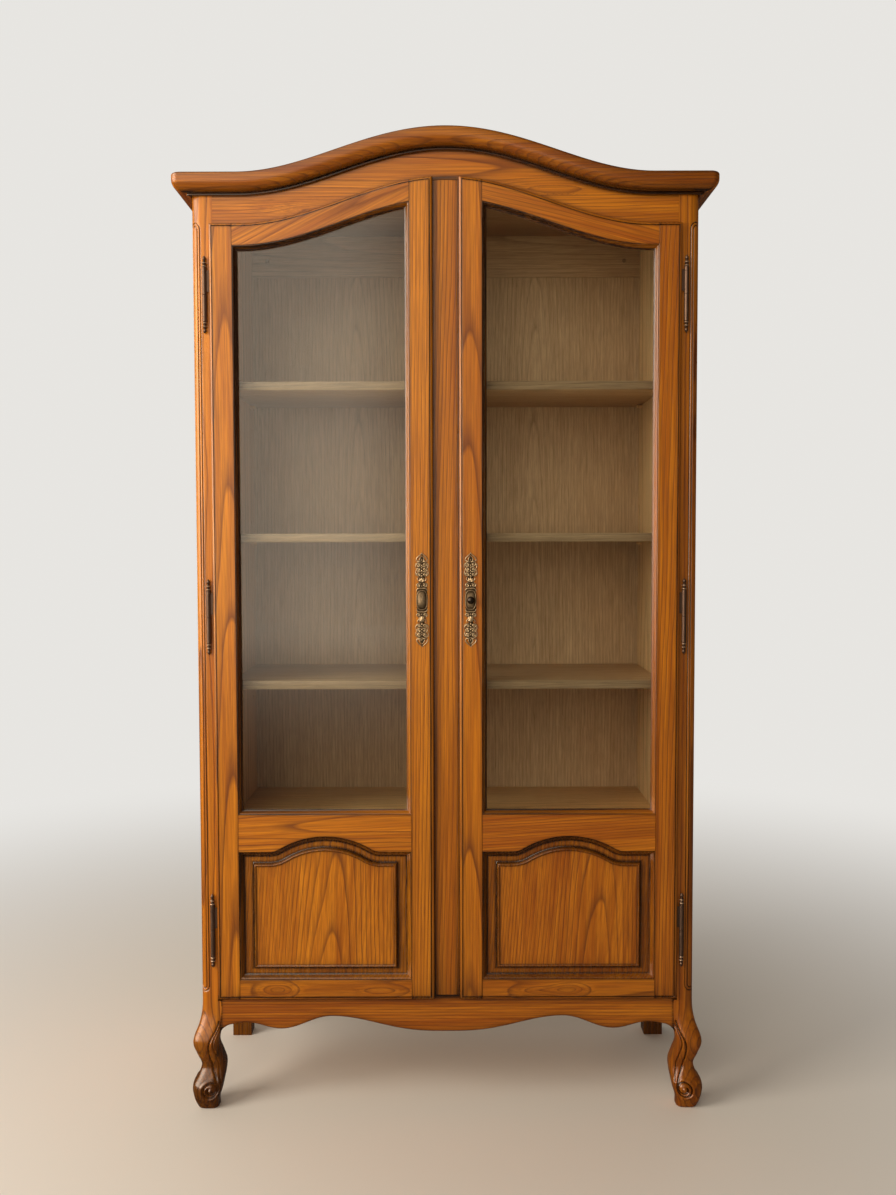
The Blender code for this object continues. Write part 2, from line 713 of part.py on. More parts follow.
def top_rail_section(x):
    high = door_top(x)
    low = high - TOP_RAIL_FACE
    radius = DOOR_EDGE_RADIUS
    round_edge = arc((DOOR_FACE + radius, high - radius), (radius, radius), 180, 90, 4)
    step = high - TONGUE_STEP
    section = [(DOOR_FACE, low)] + round_edge
    section += [(DOOR_LIP_BACK, high), (DOOR_LIP_BACK, step), (DOOR_BACK, step)]
    return section + [(DOOR_BACK, low - STOP_WIDTH), (DOOR_STOP, low - STOP_WIDTH), (DOOR_STOP, low)]


def mid_rail_section(x):
    high = MID_RAIL_TOP
    low = panel_top(x, 0.0)
    section = [(DOOR_FACE, low), (DOOR_FACE, high), (DOOR_STOP, high), (DOOR_STOP, high + STOP_WIDTH)]
    section += [(DOOR_BACK, high + STOP_WIDTH), (DOOR_BACK, low - STOP_WIDTH)]
    return section + [(DOOR_STOP, low - STOP_WIDTH), (DOOR_STOP, low)]


def bottom_rail_section(_):
    low, high = DOOR_BOTTOM, BOTTOM_RAIL_TOP
    radius = DOOR_EDGE_RADIUS
    round_edge = arc((DOOR_FACE + radius, low + radius), (radius, radius), 270, 180, 4)
    step = low + TONGUE_STEP
    section = [(DOOR_BACK, step), (DOOR_LIP_BACK, step), (DOOR_LIP_BACK, low)] + round_edge
    section += [(DOOR_FACE, high), (DOOR_STOP, high), (DOOR_STOP, high + STOP_WIDTH)]
    return section + [(DOOR_BACK, high + STOP_WIDTH)]


def opening_loop(side, y, inset, low, high_at, across=None, count=23):
    """The outline of a door opening moved inwards by an inset, or by another inset across the door."""
    across = inset if across is None else across
    left, right = SIGHT_LEFT + across, SIGHT_RIGHT - across
    loop = [(side * left, y, low + inset), (side * right, y, low + inset)]
    loop += [(side * x, y, high_at(x, inset)) for x in np.linspace(right, left, count)]
    return loop


def glass_top(x, inset):
    """Height of the pane opening at x, moved down squarely to its slope by an inset."""
    step = 0.0001
    slope = (door_top(x + step) - door_top(x - step)) / (2 * step)
    return door_top(x) - TOP_RAIL_FACE - inset * math.hypot(1.0, slope)


def panel_top(x, inset):
    """Height of the panel opening at x: a broad arc over a reverse arc at each shoulder, moved inwards."""
    lean = 2 * math.atan(PANEL_ARCH_RISE / PANEL_ARCH_REACH)
    crown = PANEL_ARCH_REACH / math.sin(lean) - PANEL_ARCH_TURN
    along = abs(x - DOOR_MIDDLE)
    if along >= PANEL_ARCH_REACH:
        return MID_RAIL_BOTTOM - inset
    if along <= (crown - inset) * math.sin(lean):
        return MID_RAIL_BOTTOM + PANEL_ARCH_RISE - crown + math.sqrt((crown - inset) ** 2 - along**2)
    turn = PANEL_ARCH_TURN + inset
    return MID_RAIL_BOTTOM + PANEL_ARCH_TURN - math.sqrt(turn**2 - (PANEL_ARCH_REACH - along) ** 2)


def ogee(start, end, count):
    """Shares of a reversed curve from one (inset, depth) point to another."""
    points = []
    for share in np.linspace(0.0, 1.0, count):
        ease = (1 - math.cos(math.pi * share)) / 2
        points.append((start[0] + (end[0] - start[0]) * share, start[1] + (end[1] - start[1]) * ease))
    return points


def make_glazing(name, side):
    """The pane, laid against the stops from the front, and the mitred moulding that holds it there."""
    loops = [opening_loop(side, y, 2 * FIT, MID_RAIL_TOP, glass_top) for y in (GLASS_FRONT, GLASS_BACK)]
    pane = loft(f"{name}_glass", loops, GLASS)
    back = GLASS_FRONT - FIT
    face = DOOR_FACE + SIGHT_RECESS
    section = [(FIT, back), (FIT, face)]
    section += ogee((SIGHT_FLAT, face), (SIGHT_MOULDING, back - SIGHT_STEP), 5)
    section.append((SIGHT_MOULDING, back))
    loops = [opening_loop(side, y, inset, MID_RAIL_TOP, glass_top) for inset, y in section]
    moulding = loft(f"{name}_glass_moulding", loops, OAK, looped=True)
    return [pane, moulding]


def make_panel(name, side):
    """The raised panel: a moulded rim against the frame, a sunk border, and a field behind a bead."""
    back = GLASS_BACK
    border = back - PANEL_EDGE
    face = DOOR_FACE + SIGHT_RECESS
    field = border - PANEL_FIELD_RISE
    section = [(2 * FIT, back), (2 * FIT, face)]
    section += ogee((SIGHT_FLAT, face), (SIGHT_MOULDING, border), 5)
    loops = [opening_loop(side, y, inset, BOTTOM_RAIL_TOP, panel_top, count=27) for inset, y in section]
    extra = PANEL_SIDE_INSET - PANEL_FIELD_INSET
    for inset, y in ogee((PANEL_FIELD_INSET - PANEL_BEAD, border), (PANEL_FIELD_INSET, field), 5):
        loops.append(opening_loop(side, y, inset, BOTTOM_RAIL_TOP, panel_top, inset + extra, 27))
    return loft(f"{name}_panel", loops, OAK)


def plate_half_width(share):
    """Half width of the pierced plate along its length, from its lower tip to its upper tip."""
    middle = abs(2 * share - 1)
    lobes = (1 + PLATE_WAIST + (1 - PLATE_WAIST) * math.cos(6 * math.pi * middle)) / 2
    taper = math.sqrt(max(1 - middle**6, 0.0))
    return (PLATE_WIDTH * lobes * taper + PLATE_TIP_WIDTH) / 2


def make_plate(name, side):
    """The pierced plate on a stile: a lobed outline with round and long piercings between its scrolls."""
    centre = (side * LOCK_X, LOCK_HEIGHT)
    shares = np.linspace(0.0, 1.0, 33)
    right = [(plate_half_width(s), (s - 0.5) * PLATE_LENGTH) for s in shares]
    outline = right + [(-x, z) for x, z in reversed(right)]
    loops = [outline]
    for height in PIERCING_HEIGHTS:
        for end in (-1, 1):
            loops.append(arc((0.0, end * height), (PIERCING_WIDTH / 2, PIERCING_LENGTH / 2), 0, 324, 10))
    if side > 0:
        loops.append(arc((0.0, 0.0), (SPINDLE_RADIUS + FIT, SPINDLE_RADIUS + FIT), 0, 330, 12))
    curve = bpy.data.curves.new(f"{name}_plate", "CURVE")
    curve.dimensions = "2D"
    curve.fill_mode = "BOTH"
    curve.extrude = PLATE_THICKNESS / 2
    for loop in loops:
        spline = curve.splines.new("POLY")
        spline.points.add(len(loop) - 1)
        spline.use_cyclic_u = True
        for place, (x, z) in zip(spline.points, loop):
            place.co = (x, z, 0.0, 1.0)
    plate = curve_solid(f"{name}_plate", curve, BRASS)
    plate.location = (centre[0], DOOR_FACE - FIT - PLATE_THICKNESS / 2, centre[1])
    plate.rotation_euler = (math.pi / 2, 0.0, 0.0)
    if side < 0:
        bm = bmesh.new()
        bmesh.ops.create_uvsphere(bm, u_segments=14, v_segments=8, radius=1.0)
        bmesh.ops.scale(bm, vec=(BOSS_WIDTH / 2, BOSS_RISE, BOSS_LENGTH / 2), verts=bm.verts)
        middle = (centre[0], DOOR_FACE - FIT - PLATE_THICKNESS / 2, centre[1])
        bmesh.ops.translate(bm, vec=middle, verts=bm.verts)
        low = (centre[0] - BOSS_WIDTH, DOOR_FACE - FIT, centre[1] - BOSS_LENGTH)
        high = (centre[0] + BOSS_WIDTH, DOOR_FACE - FIT + CUT, centre[1] + BOSS_LENGTH)
        cutter = box(f"{name}_boss_back", low, high, None)
        boss = add_object(f"{name}_boss", mesh_from(bm, f"{name}_boss"), None)
        boolean(plate, boss, "UNION")
        boolean(plate, cutter, "DIFFERENCE")
    return plate


def door_hinge_half(name, side, split):
    """The upper hinge half: a knuckle with a ringed finial, bored for the pin, and a leaf in the door."""
    r = KNUCKLE_RADIUS
    top = split + KNUCKLE_LENGTH
    tip = top + HINGE_FINIAL
    bore = HINGE_PIN_RADIUS + HINGE_PIN_CLEARANCE
    deep = split + HINGE_PIN_LENGTH + HINGE_PIN_CLEARANCE + FIT
    profile = [(0.0, tip), (r * 0.45, tip - HINGE_FINIAL * 0.10), (r * 0.35, tip - HINGE_FINIAL * 0.25)]
    profile += [(r * 0.85, tip - HINGE_FINIAL * 0.42), (r * 0.45, tip - HINGE_FINIAL * 0.60)]
    profile += [(r, tip - HINGE_FINIAL * 0.78), (r * 0.70, top + HINGE_FINIAL * 0.08)]
    profile += [(r, top), (r, split + FIT), (bore, split + FIT), (bore, deep), (0.0, deep)]
    leaf = door_leaf_box(f"{name}_leaf", side, split, HINGE_X - r * 0.75, 0.0, None)
    return hinge_half(name, side, profile, leaf)


def post_hinge_half(name, side, split):
    """The lower hinge half: the pin, a knuckle with an acorn tip, and a leaf in the post."""
    r = KNUCKLE_RADIUS
    bottom = split - KNUCKLE_LENGTH
    tip = bottom - HINGE_FINIAL
    pin = split + HINGE_PIN_LENGTH
    profile = [(0.0, pin), (HINGE_PIN_RADIUS, pin - HINGE_PIN_RADIUS / 2), (HINGE_PIN_RADIUS, split)]
    profile += [(r, split), (r, bottom), (r * 0.65, bottom - HINGE_FINIAL * 0.10)]
    profile += [(r, bottom - HINGE_FINIAL * 0.25), (r * 0.55, bottom - HINGE_FINIAL * 0.40)]
    profile += [(r * 0.85, tip + HINGE_FINIAL * 0.35), (r * 0.60, tip + HINGE_FINIAL * 0.12), (0.0, tip)]
    return hinge_half(name, side, profile, leaf_box(f"{name}_leaf", side, split, 0.0, None))


def hinge_half(name, side, profile, leaf):
    half = turned(name, profile, BRONZE)
    half.location = (side * HINGE_X, HINGE_Y, 0.0)
    boolean(half, leaf, "UNION")
    return half


def make_knob(side):
    """The turn knob and its spindle, made lying along the door's depth, with the cam on its inner end."""
    cam_front = FRAME_BACK + CAM_CLEARANCE
    cam_back = cam_front + CAM_THICKNESS
    plate_front = DOOR_FACE - FIT - PLATE_THICKNESS
    origin = plate_front - FIT
    nose = KNOB_NECK + 2 * KNOB_RADIUS
    ball = arc((0.0, KNOB_NECK + KNOB_RADIUS), (KNOB_RADIUS, KNOB_RADIUS), 90, -60, 9)
    profile = [(abs(r), h) for r, h in ball]
    profile[0] = (0.0, nose)
    end = -(cam_back - origin) - CAM_THICKNESS
    profile += [(SPINDLE_RADIUS * 1.1, KNOB_NECK * 0.5), (SPINDLE_RADIUS * 1.7, 0.0), (SPINDLE_RADIUS, 0.0)]
    profile += [(SPINDLE_RADIUS, end), (0.0, end)]
    knob = turned("turn_knob", profile, BRONZE, steps=14)
    place = Matrix.Translation((side * LOCK_X, origin, LOCK_HEIGHT))
    knob.matrix_world = place @ Matrix.Rotation(math.pi / 2, 4, "X")
    half = CAM_WIDTH / 2
    outline = arc((0.0, 0.0), (half, half), 180, 360, 9)
    outline += [(half * 0.7, CAM_LENGTH), (-half * 0.7, CAM_LENGTH)]
    hole = arc((0.0, 0.0), (SPINDLE_RADIUS + FIT, SPINDLE_RADIUS + FIT), 0, 330, 12)
    curve = bpy.data.curves.new("latch_cam", "CURVE")
    curve.dimensions = "2D"
    curve.fill_mode = "BOTH"
    curve.extrude = CAM_THICKNESS / 2
    for loop in (outline, hole):
        spline = curve.splines.new("POLY")
        spline.points.add(len(loop) - 1)
        spline.use_cyclic_u = True
        for point, (x, z) in zip(spline.points, loop):
            point.co = (x, z, 0.0, 1.0)
    cam = curve_solid("latch_cam", curve, BRONZE)
    cam.location = (side * LOCK_X, (cam_front + cam_back) / 2, LOCK_HEIGHT)
    cam.rotation_euler = (math.pi / 2, 0.0, 0.0)
    return [knob, cam]


def make_catch(side):
    """A magnet screwed to the centre post's edge, and the strike plate on the back of the stile."""
    low = (CENTRE_POST_WIDTH / 2 + FIT, DOOR_BACK + STRIKE_THICKNESS + 2 * FIT, CATCH_HEIGHT)
    high = (low[0] + CATCH_WIDTH, low[1] + CATCH_DEPTH, CATCH_HEIGHT + CATCH_LENGTH)
    mirrored_box("left_catch_magnet", side, low, high, BRONZE)
    start = DOOR_INNER + TONGUE_STEP + DOOR_CLEARANCE
    end = start + CATCH_WIDTH - 2 * DOOR_CLEARANCE
    low = (start, DOOR_BACK + FIT, CATCH_HEIGHT)
    high = (end, low[1] + STRIKE_THICKNESS, CATCH_HEIGHT + CATCH_LENGTH)
    return mirrored_box("left_catch_strike", side, low, high, BRONZE)


def pivot(name, place, pieces):
    """An empty on a joint's axis that carries the pieces that move about it."""
    empty = bpy.data.objects.new(name, None)
    empty.location = place
    PARTS.objects.link(empty)
    bpy.context.view_layer.update()
    for piece in pieces:
        piece.parent = empty
        piece.matrix_parent_inverse = empty.matrix_world.inverted()
    return empty


def make_door(name, side):
    """One lipped door with its frame, pane, panel, hinges and plate, hung on its hinge axis."""
    outer = stile(f"{name}_outer_stile", side, DOOR_OUTER, -1)
    inner = stile(f"{name}_inner_stile", side, DOOR_INNER, 1)
    if side > 0:
        start = (side * LOCK_X, DOOR_FACE - CUT, LOCK_HEIGHT)
        end = (side * LOCK_X, DOOR_BACK + CUT, LOCK_HEIGHT)
        bore = rods(f"{name}_spindle_bore", SPINDLE_RADIUS + FIT, [(start, end)], None, sides=14)
        boolean(inner, bore, "DIFFERENCE")
    rails = [
        rail(f"{name}_top_rail", side, top_rail_section),
        rail(f"{name}_mid_rail", side, mid_rail_section),
        rail(f"{name}_bottom_rail", side, bottom_rail_section, 2),
    ]
    above = door_head(f"{name}_top_cut", side, DOOR_FACE - CUT, 0.0)
    rebate = door_head(f"{name}_top_rebate", side, DOOR_LIP_BACK, TONGUE_STEP)
    low = (DOOR_INNER - CUT, DOOR_LIP_BACK, DOOR_BOTTOM - CUT)
    high = (DOOR_OUTER + CUT, DOOR_BACK + CUT, DOOR_BOTTOM + TONGUE_STEP)
    below = mirrored_box(f"{name}_bottom_rebate", side, low, high, None)
    for piece in (outer, inner):
        boolean(piece, above, "DIFFERENCE")
        boolean(piece, rebate, "DIFFERENCE")
        boolean(piece, below, "DIFFERENCE")
    for word, start, end in (
        ("inner", SIGHT_LEFT - CUT, SIGHT_LEFT + STOP_WIDTH + FIT),
        ("outer", SIGHT_RIGHT - STOP_WIDTH - FIT, SIGHT_RIGHT + CUT),
    ):
        low = (start, DOOR_STOP - FIT, DOOR_BOTTOM - CUT)
        high = (end, DOOR_BACK + CUT, TOTAL_HEIGHT)
        stop = mirrored_box(f"{name}_{word}_stop", side, low, high, None)
        for piece in rails:
            boolean(piece, stop, "DIFFERENCE")
    pieces = [outer, inner, *rails, make_panel(name, side), *make_glazing(name, side)]
    for word, split in zip(("lower", "middle", "upper"), HINGE_SPLITS):
        slot = door_leaf_box(f"{name}_{word}_slot", side, split, DOOR_OUTER + CUT, FIT, None)
        boolean(outer, slot, "DIFFERENCE")
        pieces.append(door_hinge_half(f"{name}_{word}_hinge", side, split))
    pieces.append(make_plate(name, side))
    if side > 0:
        pivot("knob_axis", (side * LOCK_X, DOOR_FACE, LOCK_HEIGHT), make_knob(side))
    else:
        pieces.append(make_catch(side))
    pivot(f"{name}_hinge_axis", (side * HINGE_X, HINGE_Y, DOOR_BOTTOM), pieces)


def make_cabinet():
    make_front_posts()
    make_rear_posts()
    make_sides()
    make_back()
    make_boards()
    make_front_frame()
    make_cornice()
    make_shelves()
    for word, side in SIDES:
        for level, split in zip(("lower", "middle", "upper"), HINGE_SPLITS):
            post_hinge_half(f"{word}_post_{level}_hinge", side, split)
        make_door(f"{word}_door", side)


make_cabinet()
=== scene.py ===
"""Looks of the two-door display cabinet: carved and moulded oak, old glass, brass plates, bronze hinges.

Metres, +Z up, front towards -Y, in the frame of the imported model.
"""

import math

import bmesh
import bpy
import numpy as np
from mathutils import Matrix, Vector


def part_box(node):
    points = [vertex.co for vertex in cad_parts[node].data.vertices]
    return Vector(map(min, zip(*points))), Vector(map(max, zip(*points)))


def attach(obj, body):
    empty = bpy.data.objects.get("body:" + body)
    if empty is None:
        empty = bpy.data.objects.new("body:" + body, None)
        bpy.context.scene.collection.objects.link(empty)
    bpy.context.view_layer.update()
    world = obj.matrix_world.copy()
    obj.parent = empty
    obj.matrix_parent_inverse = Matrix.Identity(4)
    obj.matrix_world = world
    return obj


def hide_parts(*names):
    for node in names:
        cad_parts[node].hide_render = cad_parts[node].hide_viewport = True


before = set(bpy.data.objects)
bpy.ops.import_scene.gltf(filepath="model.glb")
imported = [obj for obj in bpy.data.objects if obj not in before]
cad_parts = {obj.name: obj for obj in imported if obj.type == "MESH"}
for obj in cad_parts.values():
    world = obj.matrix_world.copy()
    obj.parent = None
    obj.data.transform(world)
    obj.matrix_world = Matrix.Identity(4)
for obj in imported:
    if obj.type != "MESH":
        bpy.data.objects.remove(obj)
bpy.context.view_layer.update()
scene = bpy.context.scene
scene.view_settings.view_transform = "Standard"

# The camera stands where the photograph was taken: chest high, square to the front and tipped slightly down.
# Its place and lens are those of a pinhole camera that was fitted to the edges seen there.
FRONT = -0.1855
CAMERA_PLACE = (0.0035, FRONT - 2.432, 1.22)
CAMERA_TIP, CAMERA_ROLL = 0.0509, -0.0024
CAMERA_LENS, CAMERA_FILM = 34.89, 36.0
camera_data = bpy.data.cameras.new("camera")
camera_data.sensor_fit = "VERTICAL"
camera_data.sensor_height = CAMERA_FILM
camera_data.lens = CAMERA_LENS
camera = bpy.data.objects.new("camera", camera_data)
tip = Matrix.Rotation(math.pi / 2 - CAMERA_TIP, 4, "X")
camera.matrix_world = Matrix.Translation(CAMERA_PLACE) @ tip @ Matrix.Rotation(CAMERA_ROLL, 4, "Z")
scene.collection.objects.link(camera)
scene.camera = camera


# The room: a plain pale floor that fades into a pale surround, a wide soft window on the left and a soft lamp
# in front. Shader sums are written with the class below, whose operators add Math nodes.
class Wire:
    """A socket of a node tree. Operators on it add Math nodes, and node() adds any other node."""

    def __init__(self, tree, socket=None):
        self.tree = tree
        self.socket = socket

    def node(self, kind, inputs=None, output=0, stops=(), **settings):
        """A new node of a kind: its settings first, then the values or links of its sockets."""
        made = self.tree.nodes.new(f"ShaderNode{kind}")
        for name, value in settings.items():
            setattr(made, name, value)
        for k, (place, level) in enumerate(stops):
            ramp = made.color_ramp.elements
            stop = ramp[k] if k < len(ramp) else ramp.new(place)
            stop.position, stop.color = place, (level, level, level, 1.0)
        for name, value in (inputs or {}).items():
            socket = made.inputs[name]
            if isinstance(value, Wire):
                self.tree.links.new(value.socket, socket)
            else:
                socket.default_value = (*value, 1.0) if socket.type == "RGBA" else value
        return Wire(self.tree, made.outputs[output] if made.outputs else None)

    def math(self, operation, *values):
        """The result of a Math node whose first value is this one."""
        return self.node("Math", dict(enumerate((self, *values))), operation=operation)

    def __add__(self, other):
        return self.math("ADD", other)

    __radd__ = __add__

    def __mul__(self, other):
        return self.math("MULTIPLY", other)

    __rmul__ = __mul__

    def __sub__(self, other):
        return self.math("SUBTRACT", other)

    def __rsub__(self, other):
        return (self * -1.0).math("ADD", other)

    def ease(self, start, end):
        """0 before start, 1 after end, with a smooth step between them."""
        inputs = {"Value": self, "From Min": start, "From Max": end}
        return self.node("MapRange", inputs, interpolation_type="SMOOTHSTEP")

    def fall(self, start, end):
        """1 before start, 0 after end, with a smooth step between them."""
        return 1.0 - self.ease(start, end)

    def mix(self, first, second):
        """From the first colour to the second as this value goes from 0 to 1."""
        return self.node("Mix", {"Factor": self, 6: first, 7: second}, 2, data_type="RGBA")

    def blend(self, first, second):
        """From the first shader to the second as this value goes from 0 to 1."""
        return self.node("MixShader", {0: self, 1: first, 2: second})

    def axes(self):
        """The x, y and z of a vector."""
        parts = self.node("SeparateXYZ", {0: self}).socket.node.outputs
        return [Wire(self.tree, part) for part in parts]

    def length(self):
        """The length of a vector."""
        return self.node("VectorMath", {0: self}, "Value", operation="LENGTH")

    def attribute(self, name, output="Fac"):
        """A value kept on the mesh, which is zero where the mesh has none of that name."""
        return self.node("Attribute", None, output, attribute_name=name)

    def rays(self, *kinds):
        """1 for a ray of one of the named kinds, and 0 for any other."""
        found = None
        for kind in kinds:
            path = self.node("LightPath", None, f"Is {kind} Ray")
            found = path.math("MAXIMUM", found) if found else path
        return found

    def mirrored(self):
        """1 for a ray that a mirror has turned back, and 0 for one that came straight or through glass."""
        return self.node("LightPath", None, "Glossy Depth").math("MINIMUM", 1.0)


def new_finish(name):
    """A node material with nothing in it yet, and a Wire into its tree."""
    material = bpy.data.materials.new(name)
    material.use_nodes = True
    material.node_tree.nodes.clear()
    return material, Wire(material.node_tree)


def show(wire, shader):
    """Ends a material's tree with the shader of its surface."""
    wire.node("OutputMaterial", {"Surface": shader})


SURROUND = (0.80, 0.785, 0.755)
FLOOR_TONE = (0.86, 0.74, 0.60)
ROOM_GLOW = (0.86, 0.75, 0.61)
DAYLIGHT = (0.98, 0.98, 0.96)
WARM_LIGHT = (1.0, 0.92, 0.81)
FILL_LEFT, FILL_BACK, FILL_LEAST = 0.28, 0.34, 0.13
VEIL_STRENGTH, VEIL_EDGE = 1.95, (-0.10, 0.02)
WINDOW_STRENGTH = 6.0
MIRRORED_SKY, MIRRORED_FLOOR = 0.03, 0.04
SEEN = ("Transmission", "Glossy", "Camera")
world = bpy.data.worlds.new("studio")
world.use_nodes = True
world.node_tree.nodes.clear()
sky = Wire(world.node_tree)
sideways, backwards, upwards = sky.node("TexCoord", None, "Generated").axes()
fill_strength = sideways.fall(-0.75, 0.55) * FILL_LEFT + backwards.ease(0.15, 0.90) * FILL_BACK + FILL_LEAST
veil = sideways.fall(*VEIL_EDGE) * upwards.ease(-0.22, -0.06) * backwards.fall(-0.35, -0.10)
window_glow = sideways.fall(-0.85, -0.40) * backwards.fall(0.0, 0.35)
mirrored_strength = veil * VEIL_STRENGTH + window_glow * WINDOW_STRENGTH + MIRRORED_SKY
glows = ((DAYLIGHT, fill_strength), (SURROUND, 1.0), (ROOM_GLOW, mirrored_strength))
fill, plain, mirrored = (sky.node("Background", {"Color": tint, "Strength": level}) for tint, level in glows)
shown = sky.rays(*SEEN).blend(fill, sky.mirrored().blend(plain, mirrored))
sky.node("OutputWorld", {"Surface": shown})
scene.world = world


def soft_lamp(name, place, aim, size, power, colour):
    """A soft rectangular lamp at a place, turned to an aim, that mirrors do not show."""
    lamp_data = bpy.data.lights.new(name, "AREA")
    lamp_data.shape = "RECTANGLE"
    lamp_data.size, lamp_data.size_y = size
    lamp_data.energy = power
    lamp_data.color = colour
    lamp = bpy.data.objects.new(name, lamp_data)
    lamp.location = place
    lamp.rotation_euler = (lamp.location - Vector(aim)).to_track_quat("Z", "Y").to_euler()
    lamp.visible_camera = lamp.visible_glossy = lamp.visible_transmission = False
    scene.collection.objects.link(lamp)


WINDOW_PLACE, WINDOW_AIM, WINDOW_SIZE, WINDOW_POWER = (-2.5, -1.6, 1.9), (0.0, -0.1, 1.05), (1.6, 2.0), 65.0
LAMP_PLACE, LAMP_AIM, LAMP_SIZE, LAMP_POWER = (-0.7, -3.1, 2.3), (0.0, 0.0, 1.0), (1.8, 1.8), 21.5
soft_lamp("window", WINDOW_PLACE, WINDOW_AIM, WINDOW_SIZE, WINDOW_POWER, DAYLIGHT)
soft_lamp("front_lamp", LAMP_PLACE, LAMP_AIM, LAMP_SIZE, LAMP_POWER, WARM_LIGHT)

FLOOR_HALF = 14.0
floor_mesh = bpy.data.meshes.new("floor")
floor_corners = [(x * FLOOR_HALF, y * FLOOR_HALF, 0.0) for x, y in ((-1, -1), (1, -1), (1, 1), (-1, 1))]
floor_mesh.from_pydata(floor_corners, [], [(0, 1, 2, 3)])
floor = bpy.data.objects.new("floor", floor_mesh)
scene.collection.objects.link(floor)
floor_finish, wire = new_finish("pale_floor")
spot = wire.node("TexCoord", None, "Object")
spot_x, spot_y, _ = spot.axes()
reach = spot.length()
turned_back = wire.mirrored()
# In mirrors the floor shows a glow instead of its lit colour: a painted reflection, strongest far off in
# front and to the left.
floor_veil = spot_x.math("DIVIDE", spot_y * -1.0).fall(*VEIL_EDGE) * reach.ease(2.0, FLOOR_HALF)
floor_veil = floor_veil * spot_y.fall(-0.9, -0.3)
glow_strength = (1.0 - turned_back) + turned_back * (floor_veil * VEIL_STRENGTH + MIRRORED_FLOOR)
glow = wire.node("Emission", {"Color": turned_back.mix(SURROUND, ROOM_GLOW), "Strength": glow_strength})
matt = wire.node("BsdfDiffuse", {"Color": FLOOR_TONE})
far = (reach.ease(0.4, 3.4) * wire.rays(*SEEN)).math("MAXIMUM", turned_back)
show(wire, far.blend(matt, glow))
floor_mesh.materials.append(floor_finish)

# The two front posts run from the floor to the roof. Each is one length of honey-stained oak with a rounded
# outer corner, on which a double line is incised. Its foot is carved into a cabriole leg with a volute on the
# front and the side. Dark wax has settled in the lines and round the foot. Painted shade darkens the inner
# side of each leg, and a little the whole right post, away from the window.
GRAIN_AXES = {"X": (2, 1, 0), "Y": (2, 0, 1), "Z": (0, 1, 2)}
# Noise in the wood: spots to a metre across and along the grain, detail, and the levels it is eased between.
GRAIN = {
    "sway": (5.0, 1.3, 2.0, None),
    "ripple": (70.0, 9.0, 3.0, None),
    "drift": (16.0, 0.8, 2.0, None),
    "patch": (9.0, 0.9, 1.0, (0.30, 0.70)),
    "streak": (110.0, 1.8, 2.0, (0.30, 0.70)),
    "broad": (15.0, 0.9, 2.0, (0.28, 0.72)),
    "fibre": (420.0, 5.0, 3.0, (0.32, 0.70)),
    "pore": (1000.0, 18.0, 1.0, (0.55, 0.65)),
}
SWAY, SWAY_DEEP, RIPPLE = 0.022, 0.7, 0.0030
YEAR_STOPS = ((0.0, 0.06), (0.06, 1.0), (0.15, 0.64), (0.30, 0.16), (0.94, 0.0))
STREAK_SHARE, BROAD_SHARE, FIBRE_SHARE, PORE_SHARE = 0.56, 0.46, 0.40, 0.50
PATCH_SHARE, EARLY_PORES = 0.40, 0.75
DARK_COVER, FIBRE_IN_DARK, EARLY_IN_DARK, PLAIN_DARK = 0.6, 0.18, 0.12, 0.88
EARLY_ROUGH, PORE_ROUGH, WAX_SMOOTH = 0.08, 0.15, 0.06
EARLY_DEEP, PORE_DEEP, FIBRE_DEEP = 0.35, 0.8, 0.25
POLISH, WAX_POLISH = 0.30, 0.35
HONEY = {
    "pale": (0.830, 0.270, 0.008),
    "mid": (0.470, 0.113, 0.003),
    "ring": (0.150, 0.032, 0.002),
    "pore": (0.130, 0.032, 0.004),
    "wax_and_shade": (0.026, 0.009, 0.003),
    "rings": 190.0,
    "contrast": 0.98,
}
HONEY_SHINE = 0.30


